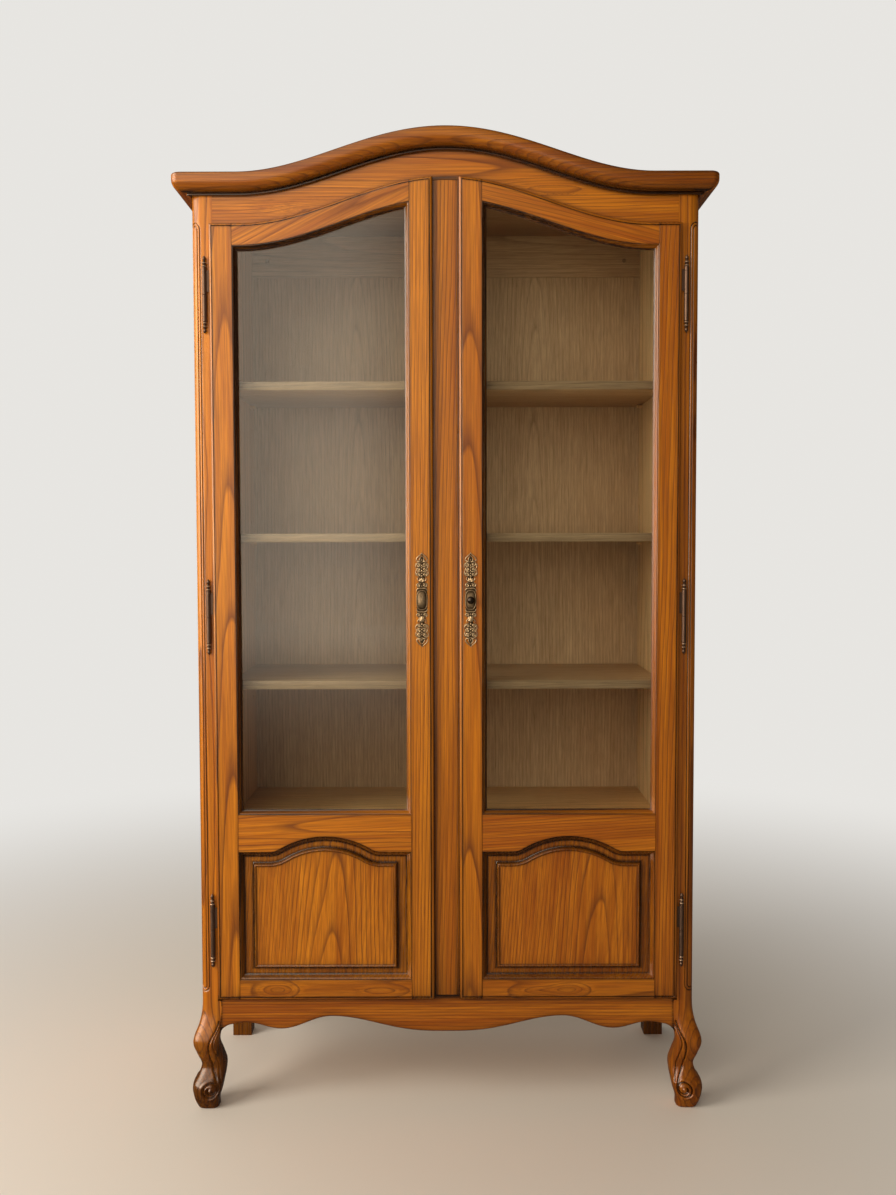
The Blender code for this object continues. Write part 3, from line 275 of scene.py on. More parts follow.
def oak(name, tones, shine, along=None, start=(0.0, 0.0, 0.0), matched_lean=0.0):
    """Stained oak: yearly rings about a heart line, streaks, fibres, open pores, dark wax and painted shade.

    Wood coordinates are (across, deep, along) in metres from the heart. They come from the mesh attribute
    "wood", or from Object coordinates turned so that the axis named by along lies along the grain. The
    tone attribute makes a piece darker than most, or paler below zero, and on some pieces it also holds
    painted light: paler on the left, towards the window, and darker on the right. The wax attribute holds wax
    in hollows and joints together with painted shade and shadow. A matched lean mirrors the figure about
    the middle, as in matched veneers, and leans the heart back along the grain.
    """
    finish, wire = new_finish(name)
    tone, wax_and_shade = wire.attribute("tone"), wire.attribute("wax_and_shade")
    if along is None:
        wood = wire.attribute("wood", "Vector")
    else:
        places = wire.node("TexCoord", None, "Object").axes()
        axes = [places[k] for k in GRAIN_AXES[along]]
        if matched_lean:
            axes = [axes[0].math("ABSOLUTE"), axes[1] + axes[2] * matched_lean, axes[2]]
        axes = [axis + shift for axis, shift in zip(axes, start)]
        wood = wire.node("CombineXYZ", dict(enumerate(axes)))

    def noise(kind):
        """Noise drawn out along the grain by its row of the table, and eased where the row has levels."""
        wide, long, detail, levels = GRAIN[kind]
        stretched = wire.node("VectorMath", {0: wood, 1: (wide, wide, long)}, operation="MULTIPLY")
        spots = wire.node("TexNoise", {"Vector": stretched, "Scale": 1.0, "Detail": detail})
        return spots.ease(*levels) if levels else spots

    across, deep, _ = wood.axes()
    sway = (noise("sway") - 0.5) * SWAY
    ripple = (noise("ripple") - 0.5) * RIPPLE
    radius = wire.node("CombineXYZ", {0: across + sway + ripple, 1: deep + sway * SWAY_DEEP}).length()
    year = (radius * tones["rings"] + noise("drift")).math("FRACT")
    early = wire.node("ValToRGB", {0: year}, stops=YEAR_STOPS)
    early = early * (noise("patch") * PATCH_SHARE + (1 - PATCH_SHARE))
    fibre = noise("fibre")
    pore = noise("pore") * (early * EARLY_PORES + (1 - EARLY_PORES))

    # The dark mask mixes towards the wax colour: wax in hollows and joints, and painted shade and shadow.
    early = early * (1.0 - wax_and_shade * DARK_COVER)
    darkened = (wax_and_shade * (fibre * FIBRE_IN_DARK + early * EARLY_IN_DARK + PLAIN_DARK)).math("MINIMUM", 1.0)
    # The tone is a piece's own tone and, on some pieces, painted light: paler on the left, darker on the
    # right.
    figure = noise("streak") * STREAK_SHARE + noise("broad") * BROAD_SHARE + tone
    colour = figure.mix(tones["pale"], tones["mid"])
    colour = (fibre * FIBRE_SHARE).mix(colour, tones["ring"])
    colour = (early * tones["contrast"]).mix(colour, tones["ring"])
    colour = (pore * PORE_SHARE).mix(colour, tones["pore"])
    colour = darkened.mix(colour, tones["wax_and_shade"])
    rough = shine + early * EARLY_ROUGH + pore * PORE_ROUGH - wax_and_shade * WAX_SMOOTH
    relief = early * -EARLY_DEEP - pore * PORE_DEEP - fibre * FIBRE_DEEP
    bump = wire.node("Bump", {"Strength": 0.35, "Distance": 0.0005, "Height": relief})
    coat = wax_and_shade * WAX_POLISH + POLISH if along is None else POLISH
    inputs = {"Base Color": colour, "Roughness": rough, "Normal": bump, "Coat Weight": coat}
    inputs.update({"Specular IOR Level": 0.50, "Coat Roughness": 0.18})
    show(wire, wire.node("BsdfPrincipled", inputs))
    return finish


honey_oak = oak("honey_oak", HONEY, HONEY_SHINE)


def cells(rows, columns, wrap_rows=False, wrap_columns=False, start=0):
    """Corner numbers of the cells of a grid of points, which may close on itself either way."""
    index = start + np.arange(rows * columns).reshape(rows, columns)
    if wrap_rows:
        index = np.vstack((index, index[:1]))
    if wrap_columns:
        index = np.hstack((index, index[:, :1]))
    corners = (index[:-1, :-1], index[:-1, 1:], index[1:, 1:], index[1:, :-1])
    return np.stack(corners, axis=-1).reshape(-1, 4).tolist()


def ring_faces(rings, start=0):
    """Faces round and between rings of points, with both ends filled."""
    rows, columns = rings.shape[:2]
    last = start + (rows - 1) * columns
    ends = [list(range(start, start + columns)), list(range(last, last + columns))]
    return cells(rows, columns, wrap_columns=True, start=start) + ends


def hold(mesh, name, values):
    """Keeps a number, or a vector for the wood, for each point of a mesh as a named attribute."""
    kind, socket = ("FLOAT_VECTOR", "vector") if name == "wood" else ("FLOAT", "value")
    held = mesh.attributes.new(name, kind, "POINT")
    held.data.foreach_set(socket, values.reshape(-1).astype(np.float32))


def body_of(node):
    """The body that a node moves with: the latch, its door, its shelf or else the carcass."""
    if node == "turn_knob":
        return "latch"
    if "_door_" in node:
        return node[: node.index("_door_")] + "_door"
    return node if node.endswith("_shelf") else "carcass"


def piece(node, finish, points, faces, wood=None, wax_and_shade=None, wear=None, crease=32.0, tone=0.0, name=None):
    """A mesh piece that stands for a CAD node: outward faces, smooth but for edges past the crease angle.

    Oak has wood coordinates, a mask of wax and painted shade, and a tone that may hold painted light; metal
    has wear.
    """
    name = name or f"finished_{node}"
    mesh = bpy.data.meshes.new(name)
    mesh.from_pydata(points.reshape(-1, 3).tolist(), [], faces)
    shell = bmesh.new()
    shell.from_mesh(mesh)
    bmesh.ops.recalc_face_normals(shell, faces=shell.faces)
    shell.to_mesh(mesh)
    shell.free()
    mesh.shade_smooth()
    mesh.set_sharp_from_angle(angle=math.radians(crease))
    if wood is None:
        hold(mesh, "wear", np.clip(wear, 0.0, 1.0))
    else:
        hold(mesh, "wood", wood)
        hold(mesh, "wax_and_shade", np.clip(wax_and_shade, 0.0, 1.0))
        hold(mesh, "tone", np.full(len(mesh.vertices), tone))
    mesh.materials.append(finish)
    made = bpy.data.objects.new(name, mesh)
    scene.collection.objects.link(made)
    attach(made, body_of(node))
    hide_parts(node)


def timber(points, along, heart, lean=(0.0, 0.0)):
    """Wood coordinates of points: across, deep and along the grain from a heart line that leans."""
    a, d, w = (points[..., k] for k in GRAIN_AXES[along])
    return joined(a - heart[0] - lean[0] * w, d - heart[1] - lean[1] * w, w + HEART_SHIFT * heart[0])


def joined(*parts):
    """Coordinates side by side: an array whose last axis holds the parts."""
    return np.stack(np.broadcast_arrays(*parts), axis=-1)


def around(centre, radius, turn):
    """Points about a centre at a radius and an angle."""
    return joined(centre[0] + radius * np.cos(turn), centre[1] + radius * np.sin(turn))


def shares(count):
    """Even shares from 0 to 1."""
    return np.linspace(0.0, 1.0, count)


def between(start, end, share):
    """From start to end as the share goes from 0 to 1."""
    return start + (end - start) * share


def ease(value, start, end):
    """0 before start, 1 after end, with a smooth step between them."""
    share = np.clip((value - start) / (end - start), 0.0, 1.0)
    return share * share * (3.0 - 2.0 * share)


def fall(value, start, end):
    """1 before start, 0 after end, with a smooth step between them."""
    return 1 - ease(value, start, end)


def wave(share):
    """Half a wave of a cosine, which climbs from 0 to 1 as the share does."""
    return (1 - np.cos(np.pi * share)) / 2


def spaced(*runs):
    """Places along a line: over each (start, end, step) run, even places about a step apart."""
    parts = [np.linspace(a, b, max(int(round(abs(b - a) / s)), 1) + 1) for a, b, s in runs]
    return np.concatenate([parts[0]] + [part[1:] for part in parts[1:]])


def line_at(distance, half):
    """1 on a line and fading on both sides of it, as a bell of a given half width."""
    return np.exp(-((distance / half) ** 2))


HEART_SHIFT = 7.0
HALF_WIDTH = 0.5275
POST = 0.045
POST_CORNER = 0.022
CARCASS_TOP = 1.9602
FIT = 0.0003
LEG_HEIGHT = 0.232
LEG_ROUNDNESS = 3.2
LEG_BLEND = 0.65
FOOT_ROUND = 0.0022
LEG_HEIGHTS = np.array((0.00, 0.08, 0.16, 0.24, 0.31, 0.39, 0.50, 0.61, 0.79, 1.00))
LEG_SWELL = np.array((0.184, 0.264, 0.244, 0.178, 0.051, -0.024, 0.122, 0.278, 0.078, 0.000))
LEG_WIDTH = np.array((0.482, 0.571, 0.671, 0.693, 0.629, 0.582, 0.604, 0.609, 0.578, 0.500))
VOLUTE_OUT, VOLUTE_HEIGHT = -0.0095, 0.044
VOLUTE_RADIUS, VOLUTE_TURNS, VOLUTE_CLOSE = 0.0205, 1.55, 0.66
VOLUTE_START, VOLUTE_OPENED, VOLUTE_COUNT = 0.70, 2.4, 240
EYE, EYE_RISE = 0.0050, 0.0042
VOLUTE_EDGE = VOLUTE_RADIUS + 0.006
STEM_TOP, STEM_BEND, STEM_TURN = 0.188, 0.100, 0.094
STEM_INNER, STEM_OUTER, STEM_FADE, STEM_COUNT = -0.0185, 0.0, 0.010, 110
GROOVE, GROOVE_DEPTH = 0.0019, 0.0034
SECOND_GROOVE, SECOND_DEPTH = 0.8 * GROOVE, 0.85
BAND, BAND_EDGE, BAND_RISE = 0.0105, 0.0040, 0.0018
BAND_LOW, BAND_MIDDLE, BAND_REACH = 0.058, 0.104, 0.040
LOOP_TOP, LOOP_BOTTOM = 1.8735, 0.252
LOOP_HALF, LOOP_STEP = 0.0138, 0.0062
LOOP_LINE, LOOP_DEPTH = 0.0012, 0.0015
LOOP_SPREAD, LOOP_WAX = 0.95, 0.95
INNER_SHADE_EDGE, FACING_EDGE = (0.15, 0.75), (0.30, 0.62)
FOOT_FADE, INNER_SHADE_FADE = (0.040, 0.262), (0.12, 0.19)
POST_RINGS = (0.62, 0.62, 1.0)
FOOT_WAX = {-1: 0.84, 1: 0.26}
POST_SHADE = {-1: 0.0, 1: 0.10}
POST_ANGLES = ((-160.0, 70.0, 1.7), (72.0, 198.0, 4.6))
POST_ARRISES = (-135.0, 45.0, 135.0)
POST_LEVELS = (
    (0.0, 0.0030, 0.001),
    (0.0030, 0.205, 0.0009),
    (0.205, 0.245, 0.004),
    (0.245, 0.285, 0.0012),
    (0.285, 1.835, 0.031),
    (1.835, 1.882, 0.0012),
    (1.882, CARCASS_TOP - FIT, 0.026),
)


def leg_curve(z, values):
    """Smooth curve through the leg's levels: cubic pieces with mean slopes at the levels, flat at the top."""
    level = np.clip(z / LEG_HEIGHT, 0.0, 1.0)
    i = np.clip(np.searchsorted(LEG_HEIGHTS, level, side="right") - 1, 0, len(LEG_HEIGHTS) - 2)
    grade = np.gradient(values, LEG_HEIGHTS)
    grade[-1] = 0.0
    span = LEG_HEIGHTS[i + 1] - LEG_HEIGHTS[i]
    t = (level - LEG_HEIGHTS[i]) / span
    curve = (1 + 2 * t) * (1 - t) ** 2 * values[i] + t * (1 - t) ** 2 * span * grade[i]
    return (curve + t**2 * (3 - 2 * t) * values[i + 1] + t**2 * (t - 1) * span * grade[i + 1]) * POST


def volute_line():
    """The main groove of the carving as (outward, height) points.

    It leaves the leg's inner edge under the apron, bends out to the middle of the leg and back in, runs under
    the volute and closes round its eye as a spiral, which opens a little before it closes.
    """
    z = np.linspace(STEM_TOP, VOLUTE_HEIGHT, STEM_COUNT)
    end = VOLUTE_OUT - VOLUTE_START * VOLUTE_RADIUS
    outward = between(STEM_INNER, STEM_OUTER, ease(-z, -STEM_TOP, -STEM_BEND))
    outward = outward + (end - STEM_OUTER) * ease(-z, -STEM_TURN, -VOLUTE_HEIGHT)
    share = shares(VOLUTE_COUNT)
    turn = 2 * np.pi * VOLUTE_TURNS * share
    opened = between(VOLUTE_START, 1.0, ease(turn, 0.0, VOLUTE_OPENED))
    radius = VOLUTE_RADIUS * (1 - VOLUTE_CLOSE * share) * opened
    return np.vstack((joined(outward, z), around((VOLUTE_OUT, VOLUTE_HEIGHT), -radius, turn)))


def band_line(line):
    """The second groove: it starts close beside the main one, swells away and ends above the volute."""
    stem = line[:STEM_COUNT]
    stem = stem[stem[:, 1] > BAND_LOW]
    return stem - joined(BAND_EDGE + BAND * line_at(stem[:, 1] - BAND_MIDDLE, BAND_REACH), 0.0)


def distance_to(line, outward, z):
    """Least distance from each point of a grid to the points of a line."""
    away = np.linalg.norm(joined(outward, z).reshape(-1, 1, 2) - line[None], axis=-1)
    return np.min(away, axis=1).reshape(outward.shape)


def carving(outward, z):
    """Rise and hollow of a leg's face: two grooves, rounded wood between, and a round eye in the volute."""
    line = volute_line()
    main = distance_to(line, outward, z)
    second = distance_to(band_line(line), outward, z)
    eye = np.hypot(outward - VOLUTE_OUT, z - VOLUTE_HEIGHT)
    hollow = np.maximum(line_at(main, GROOVE), SECOND_DEPTH * line_at(second, SECOND_GROOVE))
    rounded = BAND_RISE * (1 - line_at(main, BAND_EDGE)) * fall(eye, VOLUTE_RADIUS, VOLUTE_EDGE)
    dome = EYE_RISE * np.sqrt(np.clip(1 - (eye / EYE) ** 2, 0.0, 1.0))
    in_eye = eye < EYE
    return np.where(in_eye, dome, rounded - GROOVE_DEPTH * hollow), np.where(in_eye, 0.0, hollow)


def make_post(node, side):
    """Rings up the post: a rounded square on the leg, and a square with one round corner above."""
    angle = np.radians(np.concatenate([np.arange(*run) for run in POST_ANGLES]))
    for edge in np.radians(POST_ARRISES):
        angle[np.argmin(np.abs(angle - edge))] = edge
    z = spaced(*POST_LEVELS)
    level, turn = np.meshgrid(z, angle, indexing="ij")
    cosine, sine = np.cos(turn), np.sin(turn)
    half, corner = POST / 2, POST / 2 - POST_CORNER
    square = half / np.maximum(np.abs(cosine), np.abs(sine))
    lean = corner * (cosine - sine)
    round_corner = lean + np.sqrt(POST_CORNER**2 + lean**2 - 2 * corner**2)
    post = np.where(np.minimum(cosine, -sine) * square > corner, round_corner, square)
    size, swell = leg_curve(level, LEG_WIDTH), leg_curve(level, LEG_SWELL)
    power = LEG_ROUNDNESS
    leg = size / (np.abs(cosine) ** power + np.abs(sine) ** power) ** (1 / power)
    blend = wave(np.clip((level / LEG_HEIGHT - LEG_BLEND) / (1 - LEG_BLEND), 0.0, 1.0))
    reach = between(leg, post, blend) - FOOT_ROUND * fall(level, 0.0, FOOT_ROUND) ** 2

    outward, forward = reach * cosine, -reach * sine
    carved = z < STEM_TOP + STEM_FADE
    on_leg = fall(level[carved], STEM_TOP, STEM_TOP + STEM_FADE)
    hollow = np.zeros_like(level)
    inside = ease(-outward / size, *INNER_SHADE_EDGE)
    for aside, ahead in ((outward.copy(), forward), (forward.copy(), outward)):
        facing = ease(ahead[carved] / reach[carved], *FACING_EDGE) * on_leg
        rise, sunk = carving(aside[carved], level[carved])
        ahead[carved] += rise * facing
        hollow[carved] = np.maximum(hollow[carved], sunk * facing)

    along_corner = POST_CORNER * (turn + np.pi / 4)
    spine = np.clip(level, LOOP_BOTTOM + LOOP_HALF, LOOP_TOP - LOOP_HALF)
    from_loop = np.hypot(along_corner, level - spine) - LOOP_HALF
    lines = np.maximum(line_at(from_loop, LOOP_LINE), line_at(from_loop + LOOP_STEP, LOOP_LINE))
    lines = lines * (np.abs(along_corner) < POST_CORNER * LOOP_SPREAD)
    outward, forward = outward - LOOP_DEPTH * lines * cosine, forward + LOOP_DEPTH * lines * sine

    points = joined(side * (HALF_WIDTH - half + swell + outward), FRONT + half - swell - forward, level)
    # Wax round the foot and in the lines; painted shade on the inner side of the leg and on the right post.
    foot = np.maximum(fall(level, *FOOT_FADE), inside * fall(level, *INNER_SHADE_FADE))
    wax_and_shade = np.maximum(np.maximum(LOOP_WAX * lines, FOOT_WAX[side] * foot), hollow) + POST_SHADE[side]
    wood = timber(points, "Z", heart=(side * 0.34, 0.02), lean=(0.006 * side, 0.004)) * POST_RINGS
    # Painted light by side: the left post paler, the right one darker.
    piece(node, honey_oak, points, ring_faces(points), wood, wax_and_shade, crease=50.0, tone=0.10 * side)


SIDES = (("left", -1), ("right", 1))
for word, side in SIDES:
    make_post(f"{word}_front_post", side)


# The front frame between the posts: an arched frieze, a fixed centre post and an apron sawn to a wavy lower
# edge, all oak boards of one thickness. The lower edges of the frieze and the apron are eased, and painted
# shadow darkens the three boards along the doors and the frieze under the cornice.
def slab(node, x, z, face, back, wax_and_shade, grain, side=1, tongue=None, tone=0.0, eyes=(), coarse=1.0):
    """A board over a grid of x and z, from a front face of given depths to a flat back, closed round its rim.

    The grain is (along, heart, lean), and an eye in it is (x, z, width, height, depth). A tongue is a second
    closed shell of rings behind the board. All is laid out as for the right and mirrored where side is -1.
    """
    front, rear = joined(x, face, z), joined(x, back, z)
    rows, columns = front.shape[:2]
    count = rows * columns
    index = np.arange(count).reshape(rows, columns)
    rim = np.concatenate((index[0, :-1], index[:-1, -1], index[-1, :0:-1], index[:0:-1, 0]))
    after = np.roll(rim, -1)
    sides = joined(rim, after, after + count, rim + count).tolist()
    faces = cells(rows, columns) + cells(rows, columns, start=count) + sides
    points = np.stack((front, rear)).reshape(-1, 3)
    dark = np.concatenate((np.broadcast_to(wax_and_shade, (rows, columns)).reshape(-1), np.zeros(count)))
    if tongue is not None:
        faces += ring_faces(tongue, 2 * count)
        points = np.vstack((points, tongue.reshape(-1, 3)))
        # The front of a tongue, seen through the gaps round a door, is painted dark as shade.
        dark = np.concatenate((dark, TONGUE_SHADE * (tongue[..., 1].reshape(-1) < DOOR_BACK - FIT)))
    wood = timber(points, *grain)
    for eye_x, eye_z, wide, high, depth in eyes:
        away = ((points[..., 0] - eye_x) / wide) ** 2 + ((points[..., 2] - eye_z) / high) ** 2
        wood[..., 1] -= depth * np.exp(-away)
    wood = wood * (coarse, coarse, 1.0)
    piece(node, honey_oak, points * (side, 1, 1), faces, wood, dark, tone=tone)


def swept(x, corners):
    """Rings along x of a section with the given (depth, height) corners, whose heights may change with x."""
    return np.stack([joined(x, depth, height) for depth, height in corners], axis=1)


def arris(distance, radius):
    """Depth of an eased edge: a quarter round that ends flush after its radius."""
    inside = np.clip(radius - distance, 0.0, radius)
    return radius - np.sqrt(radius**2 - inside**2)


def fade(distance, reach):
    """1 at an edge, falling away from it over a reach."""
    return np.exp(-np.maximum(distance, 0.0) / reach)


def edge_wax_and_shade(*edges):
    """Wax and painted shade along edges: the sum over (distance from the edge, strength at it, reach of its
    fading).
    """
    return sum(strength * fade(distance, reach) for distance, strength, reach in edges)


def swell_line(x, rise):
    """One wave of a cosine over the middle of the front, flat beyond its reach."""
    return rise * (1 - wave(np.minimum(np.abs(x), ARCH_REACH) / ARCH_REACH))


def frieze_low(x):
    """Height of the frieze's lower edge: level near the posts, with the swell of the doors' arch between."""
    return FRIEZE_BOTTOM + swell_line(x, DOOR_ARCH_RISE)


def apron_drop(x):
    """Depth of the apron at x: cosine waves between its drops, the middle one drawn out."""
    x = np.minimum(np.abs(x), POST_INNER)
    i = np.clip(np.searchsorted(APRON_PLACES, x, side="right") - 1, 0, len(APRON_PLACES) - 2)
    climb = wave((x - APRON_PLACES[i]) / (APRON_PLACES[i + 1] - APRON_PLACES[i]))
    climb = np.where(i == 0, climb**1.5, climb)
    return between(APRON_DROPS[i], APRON_DROPS[i + 1], climb)


def shoulder_drop(x):
    """Extra depth of the apron near the legs: a quarter of an oval that leads its edge down into the leg."""
    share = np.clip((np.abs(x) - HOLLOW_START) / (POST_INNER + APRON_SHOULDER - HOLLOW_START), 0.0, 1.0)
    return HOLLOW_DROP * (1 - np.sqrt(1 - share**2))


def eased_shares(length, count):
    """Shares along a length that crowd towards both ends, by the edge steps."""
    ends = np.array(EDGE_STEPS) / length
    return np.concatenate((ends, np.linspace(ends[-1], 1 - ends[-1], count + 2)[1:-1], 1 - ends[::-1]))


ARCH_RISE = 0.0915
ARCH_REACH = 0.430
CORNICE_BOTTOM = 1.927
FRIEZE_BOTTOM = 1.864
DOOR_ARCH_RISE = 0.0955
FRAME_BACK = FRONT + 0.022
DOOR_BACK = FRONT + 0.010
POST_INNER = HALF_WIDTH - POST
APRON_TOP = 0.245
APRON_PLACES = np.array((0.0, 0.248, 0.356, 0.432, POST_INNER))
APRON_DROPS = np.array((0.0802, 0.0468, 0.0741, 0.0601, 0.0668))
APRON_ROUND = 0.0034
APRON_SHOULDER = 0.0085
HOLLOW_START, HOLLOW_DROP = POST_INNER - 0.018, 0.032
FRIEZE_ROUND = 0.0014
FRIEZE_EYES = ((-0.262, 1.903, 0.090, 0.014, 0.022), (0.22, 1.945, 0.110, 0.012, 0.014))
CENTRE_POST_HALF = 0.0335
DOOR_LAP = 0.0065
EDGE_STEPS = (0.0, 0.0003, 0.0008, 0.0014, 0.0022, 0.0035, 0.006, 0.010)
FRIEZE_TALL, APRON_TALL = 0.096, 0.060
TONGUE_SHADE = 0.9

reach = POST_INNER + FIT
x = np.linspace(-reach, reach, 161)[:, None]
low = frieze_low(x)
high = CARCASS_TOP - 2 * FIT + swell_line(x, ARCH_RISE)
z = between(low, high, eased_shares(FRIEZE_TALL, 14)[None])
under_cornice = CORNICE_BOTTOM + swell_line(x, ARCH_RISE) - z
# Painted shadow along the doors' top edge and under the cornice.
wax_and_shade = edge_wax_and_shade((z - low - DOOR_LAP, 0.85, 0.0030), (under_cornice, 0.85, 0.0040))
face = FRONT + arris(z - low, FRIEZE_ROUND)
grain = ("X", (1.985, -0.115), (0.004, 0.010))

# A strip behind the frieze shuts the slot over the roof board on both sides of the centre post.
STRIP_REACH, STRIP_STEP, STRIP_FRONT, STRIP_FOOT = 0.085, 0.006, DOOR_BACK + 0.0025, CARCASS_TOP - 0.014
STRIP_LAP, STRIP_THIN = 0.004, 0.003
strip_x = spaced((CENTRE_POST_HALF + 2 * FIT, STRIP_REACH, STRIP_STEP))
strip_x = np.concatenate((-strip_x[::-1], (-CENTRE_POST_HALF, CENTRE_POST_HALF), strip_x))
strip_top = frieze_low(strip_x) + STRIP_LAP
strip_low = np.where(np.abs(strip_x) <= CENTRE_POST_HALF, strip_top - STRIP_THIN, STRIP_FOOT)
strip_front = ((STRIP_FRONT, strip_low), (STRIP_FRONT, strip_top))
strip = swept(strip_x, strip_front + ((FRAME_BACK, strip_top), (FRAME_BACK, strip_low)))
slab("front_frieze", x, z, face, FRAME_BACK, wax_and_shade, grain, tongue=strip, eyes=FRIEZE_EYES)

reach, beside = POST_INNER + APRON_SHOULDER, HOLLOW_START
x = spaced((-reach, -beside, 0.0008), (-beside, beside, 0.004), (beside, reach, 0.0008))[:, None]
drop = apron_drop(x) + shoulder_drop(x)
z = APRON_TOP - drop * (1 - eased_shares(APRON_TALL, 8)[None])
from_edge = (z - APRON_TOP + drop) / np.hypot(1.0, np.gradient(drop[:, 0], x[:, 0])[:, None])
# Darker along the lower edge, painted shadow under the doors, dark joints at the legs and a little all over.
wax_and_shade = edge_wax_and_shade((from_edge, 0.75, 0.0050), (APRON_TOP - DOOR_LAP - z, 0.95, 0.0045))
wax_and_shade = wax_and_shade + edge_wax_and_shade((POST_INNER - np.abs(x), 0.6, 0.0022)) + 0.06
face = FRONT + arris(from_edge, APRON_ROUND)
slab("front_apron", x, z, face, FRAME_BACK, wax_and_shade, ("X", (0.130, -0.125), (0.012, 0.020)), tone=0.15)

x = CENTRE_POST_HALF * (2 * eased_shares(2 * CENTRE_POST_HALF, 8)[:, None] - 1)
low, high = APRON_TOP + FIT, frieze_low(x) - FIT
z = between(low, high, shares(90)[None])
from_door = CENTRE_POST_HALF - DOOR_LAP - np.abs(x)
# Painted shadow of the doors' edges on both sides, and darker towards the bottom.
wax_and_shade = edge_wax_and_shade((from_door, 0.95, 0.0040), (from_door, 0.35, 0.012), (z - low, 0.35, 0.05))
slab("centre_post", x, z, FRONT, FRAME_BACK, wax_and_shade, ("Z", (0.055, -0.120), (0.010, 0.012)), tone=-0.10)

# The cornice: one heavy moulding, a roll over a thin fillet, bent along the arch of the front and mitred at
# its rounded corners to straight returns. It is planed from oak, its hollow under the roll is dark with wax
# and painted shade, and painted shade darkens it towards the right, away from the window.
CORNICE_NOSE = 0.034
CORNICE_HEIGHT = 0.0415
CORNICE_ROLL = 0.022
CORNICE_FILLET = 0.0045
CORNICE_CORNER = 0.015
TOP_ROUND = 0.006
CAP_UNDER = 0.0335
CAP_REACH = 0.0457
BACK = 0.2195
CORNICE_WAX, HOLLOW_WAX_AND_SHADE, CREST_WAX, RIGHT_SHADE = 0.22, 0.90, 0.30, 0.20
CORNICE_LEAN, CORNICE_TONE = (0.006, 0.010), 0.12


def arc(centre, radius, start, end, count):
    """Points on an arc between two angles in degrees."""
    turn = np.radians(np.linspace(start, end, count))
    return around(centre, radius, turn)


def cornice_section():
    """(projection, height) round the moulding: fillet, quirk, roll, upright, eased top edge, cap behind."""
    step = CORNICE_NOSE - CORNICE_ROLL - 0.004
    fillet = ((FIT, 0.0), (step - 0.002, 0.0), (step - 0.0006, 0.0002), (step, 0.0008), (step, 0.0034))
    quirk = ((step - 0.0008, 0.0040), (step - 0.0010, 0.0051), (step + 0.0020, 0.0049))
    roll = arc((CORNICE_NOSE - CORNICE_ROLL, CORNICE_FILLET + CORNICE_ROLL), CORNICE_ROLL, -84, 0, 22)
    top = arc((CORNICE_NOSE - TOP_ROUND, CORNICE_HEIGHT - TOP_ROUND), TOP_ROUND, 0, 90, 9)
    cap = ((0.010, CORNICE_HEIGHT), (-CAP_REACH, CORNICE_HEIGHT), (-CAP_REACH, CAP_UNDER), (FIT, CAP_UNDER))
    return np.vstack((fillet, quirk, roll, top, cap))


section = cornice_section()
out, up = section[None, :, 0], section[None, :, 1]
# Wax and painted shade under the roll, and a little wax all over and along the top edge.
section_wax_and_shade = HOLLOW_WAX_AND_SHADE * fade(up - CORNICE_FILLET, 0.0042) * (up < CAP_UNDER) + CORNICE_WAX
section_wax_and_shade = section_wax_and_shade + CREST_WAX * line_at(up - CORNICE_HEIGHT, 0.008)


def corner_plan(start, end):
    """(x, y) of rings round a rounded corner in plan, between two angles in degrees from the front."""
    turn = np.radians(np.linspace(start, end, 7))[:, None]
    radius = np.clip(out, 0.0015, CORNICE_CORNER)
    return HALF_WIDTH + out - radius * (1 - np.sin(turn)), FRONT - out + radius * (1 - np.cos(turn))


def make_cornice(node, x, y, z, along, heart, stain):
    """A length of cornice over rings of its section, with wax and painted shade by height, and painted shade
    towards the right.
    """
    rings = joined(x, y, z)
    wood = timber(rings, along, heart, CORNICE_LEAN)
    wax_and_shade = stain * section_wax_and_shade + RIGHT_SHADE * ease(rings[..., 0], 0.10, 0.50)
    piece(node, honey_oak, rings, ring_faces(rings), wood, wax_and_shade, crease=40.0, tone=CORNICE_TONE)


x = np.linspace(-ARCH_REACH, ARCH_REACH, 181)[:, None]
slope = -ARCH_RISE * np.pi / (2 * ARCH_REACH) * np.sin(np.pi * x / ARCH_REACH)
length = np.hypot(1.0, slope)
corner_x, corner_y = corner_plan(0.0, 45.0)
corner_z = np.broadcast_to(CORNICE_BOTTOM + up, corner_x.shape)
arch_z = CORNICE_BOTTOM + swell_line(x, ARCH_RISE) + up / length
ring_x = np.vstack((FIT - corner_x[::-1], x - up * slope / length, corner_x - FIT))
ring_y = np.vstack((corner_y[::-1], np.broadcast_to(FRONT - out, arch_z.shape), corner_y))
ring_z = np.vstack((corner_z, arch_z, corner_z))
make_cornice("front_cornice", ring_x, ring_y, ring_z, "X", heart=(2.09, -0.13), stain=1.0)
corner_x, corner_y = corner_plan(45.0, 90.0)
run = shares(24)[1:, None]
ring_x = np.vstack((corner_x, np.broadcast_to(HALF_WIDTH + out, (len(run), out.size))))
ring_y = np.vstack((corner_y + FIT, between(corner_y[-1:] + FIT, BACK, run)))
for word, side in SIDES:
    heart = (2.05, side * 0.45)
    make_cornice(f"{word}_cornice", side * ring_x, ring_y, CORNICE_BOTTOM + up, "Y", heart, stain=0.3)

